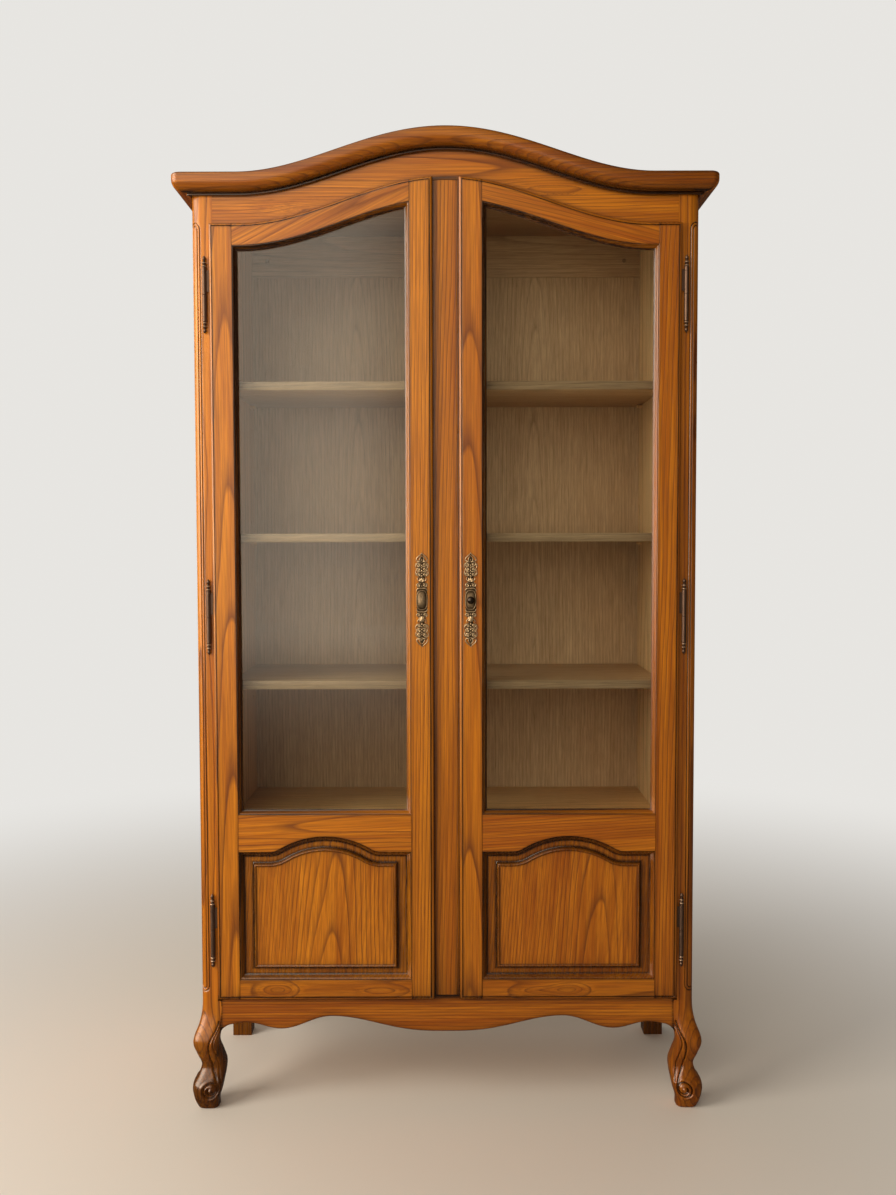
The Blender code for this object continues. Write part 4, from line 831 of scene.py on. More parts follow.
# The door frames: stiles the full height of the door, an arched top rail, a middle rail sawn to the panel's
# arch and a bottom rail with eyes in its figure. A quirk and a thumb-round run along the lipped outer edge.
DOOR_OUTER = POST_INNER + DOOR_LAP
DOOR_INNER = CENTRE_POST_HALF - DOOR_LAP
DOOR_BOTTOM = APRON_TOP - DOOR_LAP
DOOR_FACE = FRONT - FIT - 0.012
LIP_BACK = FRONT - FIT
DOOR_STOP = DOOR_BACK - 0.0065
STOP_WIDTH = 0.008
TONGUE_STEP = DOOR_LAP + 0.002
TONGUE_FRONT = LIP_BACK - 0.0006
STILE_FACE = 0.048
SIGHT_LEFT = DOOR_INNER + STILE_FACE
SIGHT_RIGHT = DOOR_OUTER - STILE_FACE
DOOR_MIDDLE = (DOOR_INNER + DOOR_OUTER) / 2
TOP_RAIL_FACE = 0.0455
MID_RAIL_TOP = 0.6373
MID_RAIL_BOTTOM = MID_RAIL_TOP - 0.0793
MID_RAIL_TALL = 0.060
BOTTOM_RAIL_FACE = 0.044
BOTTOM_RAIL_TOP = DOOR_BOTTOM + BOTTOM_RAIL_FACE
PANEL_RISE = 0.033
PANEL_REACH = 0.1185
PANEL_TURN = 0.041
THUMB_ROUND = 0.0056
QUIRK, QUIRK_PLACE, QUIRK_HALF, QUIRK_DEPTH = 0.0009, 0.0063, 0.0005, 0.0011
ARRIS = 0.0006
NO_LIP = 1.0
LIP_STEPS = np.array((0.0, 0.2, 0.7, 1.4, 2.3, 3.4, 4.6, 5.6, 5.8, 6.3, 6.8, 7.2, 8.0, 10.5, 14.0)) * 0.001
RAIL_FINE, RAIL_END = 0.0008, 0.003


def door_top(x):
    """Height of the door's top: the frieze's lower edge and a lap over it."""
    return frieze_low(x) + DOOR_LAP


def top_grade(x):
    """Length of the door's arched top for each unit of width at x."""
    slope = DOOR_ARCH_RISE * np.pi / (2 * ARCH_REACH) * np.sin(np.pi * np.clip(x / ARCH_REACH, -1, 1))
    return np.hypot(1.0, slope)


def panel_top(x, inset):
    """Height of the panel opening: a broad arc and two reverse arcs at its shoulders, moved inwards."""
    lean = 2 * np.arctan(PANEL_RISE / PANEL_REACH)
    crown = PANEL_REACH / np.sin(lean) - PANEL_TURN
    along = np.abs(x - DOOR_MIDDLE)
    arch = MID_RAIL_BOTTOM + PANEL_RISE - crown + np.sqrt(np.maximum((crown - inset) ** 2 - along**2, 0.0))
    turn = (PANEL_TURN + inset) ** 2 - (PANEL_REACH - np.minimum(along, PANEL_REACH)) ** 2
    shoulder = MID_RAIL_BOTTOM + PANEL_TURN - np.sqrt(np.maximum(turn, 0.0))
    height = np.where(along <= (crown - inset) * np.sin(lean), arch, shoulder)
    return np.where(along >= PANEL_REACH, MID_RAIL_BOTTOM - inset, height)


def lip(distance):
    """Depth behind the door's face at a distance from its edge: a thumb-round, then a fine quirk."""
    round_edge = np.where(distance <= THUMB_ROUND, QUIRK + arris(distance, THUMB_ROUND), 0.0)
    return round_edge + QUIRK_DEPTH * line_at(distance - QUIRK_PLACE, QUIRK_HALF)


def lip_wax_and_shade(distance):
    """Wax and painted shade along the lip: wax in the quirk, and a short and a long fading of painted shade
    from the edge.
    """
    in_quirk = 0.90 * line_at(distance - QUIRK_PLACE, 0.0015)
    return in_quirk + edge_wax_and_shade((distance, 0.55, 0.0013), (distance, 0.22, 0.012))


def from_lip(width, start, count):
    """Distances over a face from its lipped edge to its far arris, crowded at both."""
    return np.concatenate((LIP_STEPS, np.linspace(start, width - 0.002, count), (width - ARRIS, width)))


def make_stile(node, side, outer, heart, lean, tone):
    """A stile, over distances from its lipped edge and the door's bottom and arched top, with its tongue."""
    across = from_lip(STILE_FACE, 0.018, 7)[:, None]
    edge_x, sight_x, inward = (DOOR_OUTER, SIGHT_RIGHT, -1) if outer else (DOOR_INNER, SIGHT_LEFT, 1)
    x = edge_x + inward * across
    grade, top = top_grade(x), door_top(x)
    low_rows = np.broadcast_to(DOOR_BOTTOM + LIP_STEPS, (len(x), len(LIP_STEPS)))
    high_rows = top - LIP_STEPS[None, ::-1] * grade
    middle_rows = between(low_rows[:, -1:], high_rows[:, :1], shares(70)[None, 1:-1])
    z = np.hstack((low_rows, middle_rows, high_rows))
    edge = np.minimum(across, np.minimum(z - DOOR_BOTTOM, (top - z) / grade))
    inner_edge = STILE_FACE - across
    face = DOOR_FACE + lip(edge) + arris(inner_edge, ARRIS)
    # Painted shade along the edge by the opening, and darker towards the bottom.
    wax_and_shade = lip_wax_and_shade(edge) + edge_wax_and_shade((inner_edge, 0.60, 0.0022), (z - DOOR_BOTTOM, 0.50, 0.018))

    near, stop = edge_x + inward * TONGUE_STEP, sight_x + inward * STOP_WIDTH
    section_x = np.array((near, near, stop, stop, sight_x, sight_x))
    section_y = np.array((TONGUE_FRONT, DOOR_BACK, DOOR_BACK, DOOR_STOP, DOOR_STOP, TONGUE_FRONT))
    low, high = DOOR_BOTTOM + TONGUE_STEP, door_top(section_x) - TONGUE_STEP
    tongue = joined(section_x, section_y, between(low, high, shares(12)[:, None]))
    slab(node, x, z, face, LIP_BACK, wax_and_shade, ("Z", heart, lean), side, tongue, tone)


for word, side in SIDES:
    outer_heart, inner_heart = (0.490 + 0.04 * side, -0.115), (0.020 + 0.03 * side, -0.120 + 0.02 * side)
    # Painted light by side: stiles on the left paler, on the right darker; both inner stiles paler too.
    outer_tone, inner_tone = 0.20 * side, 0.17 * side - 0.25
    make_stile(f"{word}_door_outer_stile", side, True, outer_heart, (0.004, 0.016), outer_tone)
    make_stile(f"{word}_door_inner_stile", side, False, inner_heart, (-0.004, 0.014), inner_tone)

rail_x = spaced(
    (SIGHT_LEFT + FIT, SIGHT_LEFT + RAIL_END, RAIL_FINE),
    (SIGHT_LEFT + RAIL_END, SIGHT_RIGHT - RAIL_END, 0.004),
    (SIGHT_RIGHT - RAIL_END, SIGHT_RIGHT - FIT, RAIL_FINE),
)[:, None]
tongue_x = np.linspace(SIGHT_LEFT + STOP_WIDTH + FIT, SIGHT_RIGHT - STOP_WIDTH - FIT, 60)


def rail_tongue(low, high, below, above):
    """A rail's tongue between two heights, with a stop for a pane or panel below it or above it."""
    under, over = low - STOP_WIDTH, high + STOP_WIDTH
    corners = [(TONGUE_FRONT, low), (TONGUE_FRONT, high)]
    corners += [(DOOR_STOP, high), (DOOR_STOP, over), (DOOR_BACK, over)] if above else [(DOOR_BACK, high)]
    corners += [(DOOR_BACK, under), (DOOR_STOP, under), (DOOR_STOP, low)] if below else [(DOOR_BACK, low)]
    return swept(tongue_x, corners)


def make_rail(node, side, z, edge, arrises, heart, lean, tongue, stain=0.0, **figure):
    """A rail between the stiles: flat but for its lipped edge and eased arrises."""
    face = DOOR_FACE + lip(edge) + arris(arrises, ARRIS)
    from_end = np.minimum(rail_x - SIGHT_LEFT, SIGHT_RIGHT - rail_x)
    # Painted shade along the edges by the openings, the lip's wax and shade, dark joints at the stiles, and a
    # stain.
    wax_and_shade = stain + lip_wax_and_shade(edge) + edge_wax_and_shade((arrises, 0.55, 0.0022), (from_end, 0.32, 0.0010))
    slab(node, rail_x, z, face, LIP_BACK, wax_and_shade, ("X", heart, lean), side, tongue, **figure)


TOP_LEAN = {-1: -0.50, 1: -0.26}
tongue_top = door_top(tongue_x)
top_tongue = rail_tongue(tongue_top - TOP_RAIL_FACE, tongue_top - TONGUE_STEP, True, False)
mid_tongue = rail_tongue(panel_top(tongue_x, 0.0), MID_RAIL_TOP, True, True)
bottom_tongue = rail_tongue(DOOR_BOTTOM + TONGUE_STEP, BOTTOM_RAIL_TOP, False, True)
down = from_lip(TOP_RAIL_FACE, 0.018, 8)[None, ::-1]
rise = from_lip(BOTTOM_RAIL_FACE, 0.017, 14)[None] + 0 * rail_x
panel_low = panel_top(rail_x, 0.0)
mid_z = between(panel_low, MID_RAIL_TOP, eased_shares(MID_RAIL_TALL, 10)[None])
mid_arrises = np.minimum(mid_z - panel_low, MID_RAIL_TOP - mid_z)
for word, side in SIDES:
    node = f"{word}_door_top_rail"
    z, edge, arrises = door_top(rail_x) - down, down / top_grade(rail_x), TOP_RAIL_FACE - down
    heart, lean = (2.02 + 0.02 * side, -0.118), (TOP_LEAN[side], 0.02)
    make_rail(node, side, z, edge, arrises, heart, lean, top_tongue, coarse=0.80)
    node, heart, lean = f"{word}_door_mid_rail", (0.66 + 0.03 * side, -0.135), (0.05 * side, 0.012)
    # Painted light by side: the right middle rail darker.
    make_rail(node, side, mid_z, NO_LIP, mid_arrises, heart, lean, mid_tongue, tone=0.20 + 0.20 * side)
    node, heart, lean = f"{word}_door_bottom_rail", (0.262, -0.120), (0.01 * side, 0.03)
    eyes = [(0.31 - 0.05 * side, 0.261, 0.034, 0.012, 0.026)]
    eyes += [(0.17 + 0.03 * side, 0.259, 0.050, 0.010, 0.018)]
    figure = {"stain": 0.12, "eyes": eyes, "coarse": 0.55, "tone": 0.10}
    z, arrises = DOOR_BOTTOM + rise, BOTTOM_RAIL_FACE - rise
    make_rail(node, side, z, rise, arrises, heart, lean, bottom_tongue, **figure)

# The sight mouldings: an ogee planed on a thin strip, mitred at the corners, holds each pane against its
# stops. Wax has settled against the glass. Painted shade darkens the sides away from the window, most on
# top and on the left and a little at the foot, and painted light makes the right sides paler.
GLASS_FRONT = DOOR_STOP - FIT - 0.004
GLASS_SEAT = GLASS_FRONT - FIT
MOULDING_FACE = DOOR_FACE + 0.0006
SIGHT = 0.010
LOOP_WIDE, LOOP_TALL = 61, 40
SHADE_ACROSS, SHADE_TOP, SHADE_FOOT = 0.34, 0.50, 0.12
SIGHT_WAX, GLASS_WAX, FRAME_WAX = 0.40, 0.55, 0.60


def ogee(start, end, count):
    """(inset, depth) points of a reversed curve from one point to another."""
    share = shares(count)
    return joined(between(start[0], end[0], share), between(start[1], end[1], wave(share)))


def glass_top(x, inset):
    """Height of the pane's opening: the top rail's lower edge, moved inwards by an inset square to it."""
    return door_top(x) - TOP_RAIL_FACE - inset * top_grade(x)


def opening_loop(inset, depth, low, high_at, across):
    """The outline of a door opening moved inwards: along the bottom, up, back over the arch and down."""
    left, right = SIGHT_LEFT + across, SIGHT_RIGHT - across
    over = np.linspace(right, left, LOOP_WIDE)
    top = high_at(over, inset)
    rise = np.linspace(low + inset, top[0], LOOP_TALL)[1:-1]
    fall_back = np.linspace(top[-1], low + inset, LOOP_TALL)[1:-1]
    bottom = np.linspace(left, right, LOOP_WIDE)
    x = np.concatenate((bottom, np.full(len(rise), right), over, np.full(len(rise), left)))
    return joined(x, depth, np.concatenate((np.full(LOOP_WIDE, low + inset), rise, top, fall_back)))


def moulding_wood(points, heart):
    """Wood coordinates round a loop: the grain stands on the uprights and lies along the width elsewhere."""
    order = np.arange(points.shape[1])
    turn = LOOP_WIDE + LOOP_TALL - 2
    standing = (order >= LOOP_WIDE) & (order < turn) | (order >= turn + LOOP_WIDE)
    return np.where(standing[None, :, None], timber(points, "Z", heart), timber(points, "X", heart))


def window_shade(outer, inner, side):
    """Painted shade round a loop, most where its hollow faces away from the window: on the left and on top.
    On the right it is below zero, a paler painted light.
    """
    inward = inner - outer
    inward = inward / np.maximum(np.linalg.norm(inward[:, (0, 2)], axis=1, keepdims=True), FIT)
    across, up = side * inward[:, 0], inward[:, 2]
    return (SHADE_ACROSS * across + SHADE_TOP * np.maximum(-up, 0.0) + SHADE_FOOT * np.maximum(up, 0.0))[None]


outside = ((FIT, GLASS_SEAT), (FIT, MOULDING_FACE + 0.0006), (0.0006, MOULDING_FACE))
curve = ogee((0.0014, MOULDING_FACE), (0.0088, GLASS_SEAT - 0.0034), 18)
inside = ((0.0092, GLASS_SEAT - 0.0031), (0.0097, GLASS_SEAT - 0.0029))
inside += ((SIGHT, GLASS_SEAT - 0.0024), (SIGHT, GLASS_SEAT))
section = np.vstack((outside, curve, inside))
loops = np.stack([opening_loop(inset, depth, MID_RAIL_TOP, glass_top, inset) for inset, depth in section])
inset = section[:, 0]
dark = SIGHT_WAX + GLASS_WAX * ease(inset, 0.0050, 0.0090) + FRAME_WAX * fade(inset, 0.0016)
wood = moulding_wood(loops, heart=(0.3, -0.1))
faces = cells(*loops.shape[:2], wrap_rows=True, wrap_columns=True)
for word, side in SIDES:
    node, name = f"{word}_door_glass_moulding", f"finished_{word}_glass_moulding"
    # Painted shade on the sides of each opening away from the window, and painted light on the right side.
    wax_and_shade = dark[:, None] + window_shade(loops[0], loops[-1], side)
    piece(node, honey_oak, loops * (side, 1, 1), faces, wood, wax_and_shade, name=name)

# The raised panels: a moulded rim against the frame, a sunk border dark with wax, and a field raised behind a
# bead. The grain stands upright. Painted shade darkens the rim on the left and on top, away from the window,
# and it is paler on the right.
PANEL_BACK = DOOR_STOP - FIT
BORDER = PANEL_BACK - 0.0060
FIELD = BORDER - 0.0072
CREST = FIELD - 0.0016
PANEL_EXTRA = 0.0057
RIM_END, BORDER_END, BEAD_CREST, BEAD_END = 0.0108, 0.0240, 0.0290, 0.0318
RIM_SHADE, RIM_SHADE_RING = 0.6, 11
PANEL_RINGS = (0.95, 0.95, 1.0)
PANEL_WAX, RIM_WAX, BEAD_WAX, FIELD_WAX = 0.46, 0.10, 0.20, 0.26
# Lines of wax round the panel: inset, strength and half width.
PANEL_LINES = ((RIM_END, 0.45, 0.0020), (BORDER_END, 0.50, 0.0022), (BEAD_END, 0.55, 0.0014))
rim = ((2 * FIT, PANEL_BACK), (2 * FIT, MOULDING_FACE + 0.0006), (0.0009, MOULDING_FACE))
rim_curve = ogee((0.0016, MOULDING_FACE), (RIM_END, BORDER - 0.0004), 14)
border = [(inset, BORDER) for inset in (0.0114, 0.0140, 0.0190, 0.0234)]
bead_rise = ogee((BORDER_END, BORDER - 0.0006), (BEAD_CREST - 0.0006, CREST + 0.0002), 12)
bead_fall = ogee((BEAD_CREST, CREST), (BEAD_END, FIELD), 8)
field = [(inset, FIELD) for inset in (0.034, 0.038, 0.046, 0.058)]
section = np.vstack((rim, rim_curve, border, bead_rise, bead_fall, field))
inset = section[:, 0]
aside = inset + PANEL_EXTRA * ease(inset, RIM_END, BORDER_END)
loops = [opening_loop(*place, BOTTOM_RAIL_TOP, panel_top, across) for place, across in zip(section, aside)]
loops = np.stack(loops)
on_rim = fall(inset, RIM_END - 0.002, RIM_END + 0.002)
on_field = ease(inset, BEAD_CREST, BEAD_END)
on_bead = ease(inset, BORDER_END - 0.001, BORDER_END + 0.001) * (1 - on_field)
dark = PANEL_WAX * (1 - on_field) + RIM_WAX * on_rim + BEAD_WAX * on_bead
for place, strength, half in PANEL_LINES:
    dark = dark + strength * line_at(inset - place, half)
dark = dark + edge_wax_and_shade((inset, 0.45, 0.0016)) + FIELD_WAX * on_field * fade(inset - BEAD_END, 0.014)
dark[0] = on_rim[0] = 0.0
for word, side in SIDES:
    # Painted shade on the rim on the left and on top, away from the window, and paler on the right.
    wax_and_shade = dark[:, None] + RIM_SHADE * on_rim[:, None] * window_shade(loops[0], loops[RIM_SHADE_RING], side)
    wood = timber(loops, "Z", heart=(0.28 + 0.02 * side, -0.110), lean=(0.05 * side, 0.04)) * PANEL_RINGS
    points = loops * (side, 1, 1)
    # Painted light by side: the left panel paler, the right one darker.
    piece(f"{word}_door_panel", honey_oak, points, ring_faces(points), wood, wax_and_shade, tone=0.15 * side)

# The panes: a thin sheet of drawn glass to each door, faintly green, held against the stops of its frame by
# the sight moulding. Light passes through it to the shelves.
GLASS_TINT = (0.93, 0.96, 0.93)
GLASS_SHADE = (0.92, 0.94, 0.92)
glass, wire = new_finish("drawn_glass")
clear_inputs = {"Base Color": GLASS_TINT, "Roughness": 0.02, "IOR": 1.52, "Transmission Weight": 1.0}
clear = wire.node("BsdfPrincipled", clear_inputs)
open_way = wire.node("BsdfTransparent", {"Color": GLASS_SHADE})
show(wire, wire.rays("Diffuse", "Shadow").blend(clear, open_way))


def repaint(node, finish):
    """Gives a CAD node that is shown as it is a new finish."""
    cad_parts[node].material_slots[0].material = finish


for word, side in SIDES:
    repaint(f"{word}_door_glass", glass)

# The carcass behind the front: rear posts, side panels and side rails of honey oak, a back and an inside of
# paler oak with a dry, greyed finish, and a darker roof board. The display floor and the inner side walls are
# painted lighter still, as painted light. The loose shelves lie on pins in the inner walls, and two plugs
# cover the screws of the back's top rail.
GREY = {
    "pale": (0.700, 0.450, 0.235),
    "mid": (0.560, 0.340, 0.165),
    "ring": (0.260, 0.145, 0.062),
    "pore": (0.120, 0.066, 0.030),
    "wax_and_shade": (0.060, 0.035, 0.018),
    "rings": 125.0,
    "contrast": 0.60,
}
# Lighter copies of the grey oak, as painted light, for the display floor and the inner side walls.
LIT_FLOOR_OAK = {**GREY, "pale": (0.980, 0.600, 0.240), "mid": (0.880, 0.490, 0.170)}
LIT_WALL_OAK = {**GREY, "pale": (0.950, 0.585, 0.255), "mid": (0.780, 0.450, 0.180)}
ROOF_OAK = {**GREY, "pale": (0.500, 0.290, 0.130), "mid": (0.390, 0.210, 0.085)}
GREY_SHINE = 0.50
grey_oak = oak("grey_oak", GREY, GREY_SHINE)
lit_floor_oak = oak("lit_floor_oak", LIT_FLOOR_OAK, GREY_SHINE)
roof_oak = oak("roof_oak", ROOF_OAK, GREY_SHINE)
BOARD_ROUND = 0.0012
BOARD_LEAN = (0.02, 0.03)
STAIN_ENDS = np.array((0.07, 0.20))
PLUG_PLACES, PLUG_HEIGHT, PLUG_RADIUS, PLUG_WAX = (-0.424, 0.424), 1.879, 0.0048, 0.55


def board(node, along, heart, finish, plugs=(), foot=0.0, front=0.0):
    """A board in a CAD node's box: a rectangle with round corners, drawn along the grain to eased ends.

    Wax darkens the lower end by foot and the edge that faces the front by front.
    """
    low, high = (np.array(corner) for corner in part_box(node))
    a, d, w = GRAIN_AXES[along]
    turn = np.radians(np.arange(0.0, 360.0, 22.5) + 11.25)
    centre, half = (low + high) / 2, (high - low) / 2
    steps = np.array((0.0, 0.3, 1.0)) * BOARD_ROUND
    inset = np.array((1.0, 0.3, 0.0, 0.0, 0.0, 0.0, 0.3, 1.0)) * BOARD_ROUND
    rings = np.zeros((len(inset), len(turn), 3))
    for axis, way in ((a, np.cos(turn)), (d, np.sin(turn))):
        rings[..., axis] = centre[axis] + np.sign(way) * (half[axis] - BOARD_ROUND)
        rings[..., axis] += way * (BOARD_ROUND - inset[:, None])
    stain_ends = between(low[w], high[w], STAIN_ENDS)
    rings[..., w] = np.concatenate((low[w] + steps, stain_ends, high[w] - steps[::-1]))[:, None]
    points, faces = rings.reshape(-1, 3), ring_faces(rings)
    low_end = (np.arange(len(inset)) < len(inset) / 2)[:, None]
    wax_and_shade = (foot * low_end + front * (np.sin(turn) < -0.7)).reshape(-1)
    for plug in plugs:
        faces += ring_faces(plug, len(points))
        points = np.vstack((points, plug.reshape(-1, 3)))
        wax_and_shade = np.append(wax_and_shade, np.full(plug.shape[:2], PLUG_WAX))
    piece(node, finish, points, faces, timber(points, along, heart, BOARD_LEAN), wax_and_shade, crease=50.0)


def lathe(profile, centre, count=36, axis="Z"):
    """Rings of a turned form from (radius, place) points along an upright or a forward axis."""
    turn = np.linspace(0.0, 2 * np.pi, count, endpoint=False)[None]
    radius, place = profile[:, :1], profile[:, 1:]
    wide, tall = radius * np.cos(turn), radius * np.sin(turn)
    if axis == "Z":
        return joined(centre[0] + wide, centre[1] + tall, place)
    return joined(centre[0] + wide, place, centre[2] + tall)


rail_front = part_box("back_top_rail")[0][1]
plug_profile = np.array(((PLUG_RADIUS, 0.001), (PLUG_RADIUS, -0.0006), (0.0034, -0.0012), (0.0, -0.0013)))
plug_profile += (0.0, rail_front)
plugs = [lathe(plug_profile, (x, 0.0, PLUG_HEIGHT), 20, "Y") for x in PLUG_PLACES]
LEVELS = ("lower", "middle", "upper")
for k, word in enumerate(LEVELS):
    board(f"{word}_shelf", "X", (0.85 + 0.31 * k, -0.10 - 0.03 * k), grey_oak, front=0.38)
board("display_floor", "X", (0.52, -0.06), lit_floor_oak)
board("bottom_board", "X", (0.16, -0.05), grey_oak)
board("back_top_rail", "X", (1.93, 0.10), grey_oak, plugs)
board("back_bottom_rail", "X", (0.20, 0.09), grey_oak)
board("roof_board", "X", (1.88, 0.02), roof_oak)
for word, side in SIDES:
    board(f"{word}_rear_post", "Z", (side * 0.45, 0.12), honey_oak, foot=0.72)
    board(f"{word}_side_panel", "Z", (side * 0.42, 0.03), honey_oak)
    wall_start, rail_start = (0.0, -0.04 * side, 0.7 * side), (-0.16, -0.45 * side, 0.4 * side)
    # The inner side walls take the lighter copy of the grey oak, as painted light.
    repaint(f"{word}_side_wall", oak(f"{word}_lit_wall_oak", LIT_WALL_OAK, GREY_SHINE, "Z", wall_start))
    repaint(f"{word}_side_rail", oak(f"{word}_rail_oak", HONEY, HONEY_SHINE, "Y", rail_start))
back_start, back_lean = (-0.21, -0.215, 0.3), 0.045
repaint("back_panel", oak("back_panel_oak", GREY, GREY_SHINE, "Z", back_start, back_lean))


# The hinges: lift-off barrels of brown bronze with ringed finials, rubbed brighter on their crests. Each half
# has a thin leaf, let into the door's edge or into the post.
def metal(name, dark, worn, rough_dark, rough_worn):
    """Old metal: a dark skin, rubbed bright where the attribute "wear" is high, broken up by fine noise."""
    finish, wire = new_finish(name)
    spot = wire.node("TexCoord", None, "Object")
    blotch = wire.node("TexNoise", {"Vector": spot, "Scale": 420.0, "Detail": 4.0})
    broad = wire.node("TexNoise", {"Vector": spot, "Scale": 60.0, "Detail": 3.0})
    shown = wire.attribute("wear") + (blotch - 0.5) * SPECKLE + (broad - 0.5) * SPECKLE
    shown = shown.ease(0.10, 0.90)
    rough = between(rough_dark, rough_worn, shown) + blotch * 0.08
    bump = wire.node("Bump", {"Strength": 0.25, "Distance": 0.0003, "Height": blotch})
    inputs = {"Base Color": shown.mix(dark, worn), "Roughness": rough, "Normal": bump, "Metallic": 0.65}
    show(wire, wire.node("BsdfPrincipled", inputs))
    return finish


SPECKLE = 0.3
brown_bronze = metal("brown_bronze", (0.130, 0.072, 0.045), (0.560, 0.370, 0.235), 0.38, 0.26)
HINGE_X, HINGE_Y = 0.499, -0.1908
KNUCKLE, KNUCKLE_LENGTH = 0.005, 0.056
KNUCKLE_GROOVE = 0.0006
FINIAL = 0.024
TIP_WAIST, TIP_SWELL = 0.0022, 0.0018
HINGE_WEAR, CREST_WEAR, CREST_RADII = 0.15, 0.65, (0.0036, 0.0053)
# Rings of the finial: bottom, top, radius and waist, from the end of the barrel.
FINIAL_RINGS = (
    (0.0, 0.0040, 0.0052, 0.0032),
    (0.0040, 0.0066, 0.0040, 0.0026),
    (0.0066, 0.0116, 0.0050, 0.0024),
    (0.0116, 0.0140, 0.0036, 0.0020),
)
HINGE_SPLITS = (0.387, 1.056, 1.725)
LEAF_HALF, LEAF_TALL, LEAF_DEEP, LEAF_WIDE, LEAF_START = 0.001, 0.022, 0.018, 0.028, 0.003


def bulb(low, high, radius, waist):
    """(radius, height) points of a ring or ball between two heights: half a sine over its waist."""
    share = shares(9)
    return joined(between(waist, radius, np.sin(np.pi * share)), between(low, high, share))


def knuckle_profile():
    """(radius, height) up one half from the split: barrel, incised ring, four turned rings, ball and tip."""
    top, groove, ball_low = KNUCKLE_LENGTH, KNUCKLE - KNUCKLE_GROOVE, FINIAL_RINGS[-1][1]
    barrel = [(0.0, FIT), (KNUCKLE - 0.0004, FIT), (KNUCKLE, FIT + 0.0005), (KNUCKLE, 0.045)]
    barrel += [(groove, 0.0454), (groove, 0.0462), (KNUCKLE, 0.0466)]
    barrel += [(KNUCKLE, top - 0.001), (KNUCKLE - 0.0012, top)]
    rings = [bulb(top + low, top + high, radius, waist) for low, high, radius, waist in FINIAL_RINGS]
    share = shares(12)
    ball = TIP_WAIST + TIP_SWELL * np.sin(np.pi * share**0.8) - TIP_WAIST * share**3
    return np.vstack((barrel, *rings, joined(ball, top + between(ball_low, FINIAL, share))))


def make_hinge_half(node, side, split, way):
    """One half of a hinge: the turned barrel up or down from the split, and its leaf."""
    profile = knuckle_profile() * (1, way) + (0.0, split)
    rings = lathe(profile, (side * HINGE_X, HINGE_Y, 0.0))
    if way > 0:
        near, far = HINGE_X - LEAF_START, HINGE_X - LEAF_WIDE
        leaf_x = np.array((near, far, far, near))
        leaf_y = HINGE_Y + LEAF_HALF * np.array((-1, -1, 1, 1))
    else:
        near, far = HINGE_Y + 0.002, FRONT + LEAF_DEEP
        leaf_x = HINGE_X + LEAF_HALF * np.array((-1, 1, 1, -1))
        leaf_y = np.array((near, near, far, far))
    leaf_z = split + way * KNUCKLE_LENGTH / 2 + LEAF_TALL * np.array(((-1,), (1,)))
    leaf = joined(side * leaf_x, leaf_y, leaf_z)
    points = np.vstack((rings.reshape(-1, 3), leaf.reshape(-1, 3)))
    count = rings.shape[0] * rings.shape[1]
    on_finial = np.abs(profile[:, 1] - split) > KNUCKLE_LENGTH
    crest = HINGE_WEAR + CREST_WEAR * ease(profile[:, 0], *CREST_RADII) * on_finial
    wear = np.append(np.repeat(crest, rings.shape[1]), np.zeros(leaf.shape[:2]))
    piece(node, brown_bronze, points, ring_faces(rings) + ring_faces(leaf, count), wear=wear)


for word, side in SIDES:
    for level, split in zip(LEVELS, HINGE_SPLITS):
        make_hinge_half(f"{word}_door_{level}_hinge", side, split, 1)
        make_hinge_half(f"{word}_post_{level}_hinge", side, split, -1)

# The door plates: cast brass scrollwork on a thin back, dark as painted shade between the scrolls, fixed to
# the inner stiles, with a smooth boss on the left door and the turn knob on the right. The hollows are dark
# and the crests are rubbed bright.
aged_brass = metal("aged_brass", (0.075, 0.043, 0.018), (0.720, 0.505, 0.280), 0.48, 0.26)
LOCK_X, LOCK_HEIGHT = 0.051, 1.0915
PLATE_BACK = DOOR_FACE - FIT
MM = 0.001
PLATE_SCALE = np.array((1.10, 1.0, 1.0)) * MM
# Half widths of the plate's back at levels up it, from below to above its boss.
PLATE_OUTLINE = (
    ((-98, 0.3), (-93, 1.8), (-86, 3.6), (-79, 6.6), (-72, 8.6), (-64, 7.0), (-56, 8.6), (-50, 6.0))
    + ((-45, 4.2), (-38, 5.6), (-32, 8.0), (-26, 9.2), (-20, 10.2), (20, 10.2), (27, 9.2), (34, 8.0))
    + ((40, 5.6), (46, 5.4), (53, 8.6), (62, 7.0), (72, 8.6), (81, 6.8), (87, 3.8), (92, 1.8), (100, 0.3))
)


def bow(*points):
    """A cubic curve from its first point to its last, drawn towards the two between."""
    s = shares(26)[:, None]
    a, b, c, d = (np.array(point) for point in points)
    return a * (1 - s) ** 3 + 3 * b * s * (1 - s) ** 2 + 3 * c * s**2 * (1 - s) + d * s**3


def scroll(centre, start, turns, outer, inner):
    """A spiral about a centre from an outer to an inner radius, from a start angle in degrees."""
    s = shares(46)
    turn = np.radians(start) + 2 * np.pi * turns * s
    return around(centre, between(outer, inner, s**0.8), turn)


def strand(path, width, rise, rubbed=1.0):
    """A half-round strip along a flat path, with arrays of half widths and rises: rings and their wear."""
    along = np.gradient(path, axis=0)
    along /= np.linalg.norm(along, axis=1, keepdims=True)
    cross = joined(-along[:, 1], along[:, 0])
    turn = np.linspace(0.0, np.pi, 9)
    lift, shift = np.append(np.sin(turn), 0.0), np.append(np.cos(turn), 0.0)
    flat = path[:, None] + cross[:, None] * (shift[None] * width[:, None])[..., None]
    rings = joined(flat[..., 0], -lift[None] * rise[:, None], flat[..., 1])
    return rings, rubbed * np.broadcast_to(lift**3, rings.shape[:2])


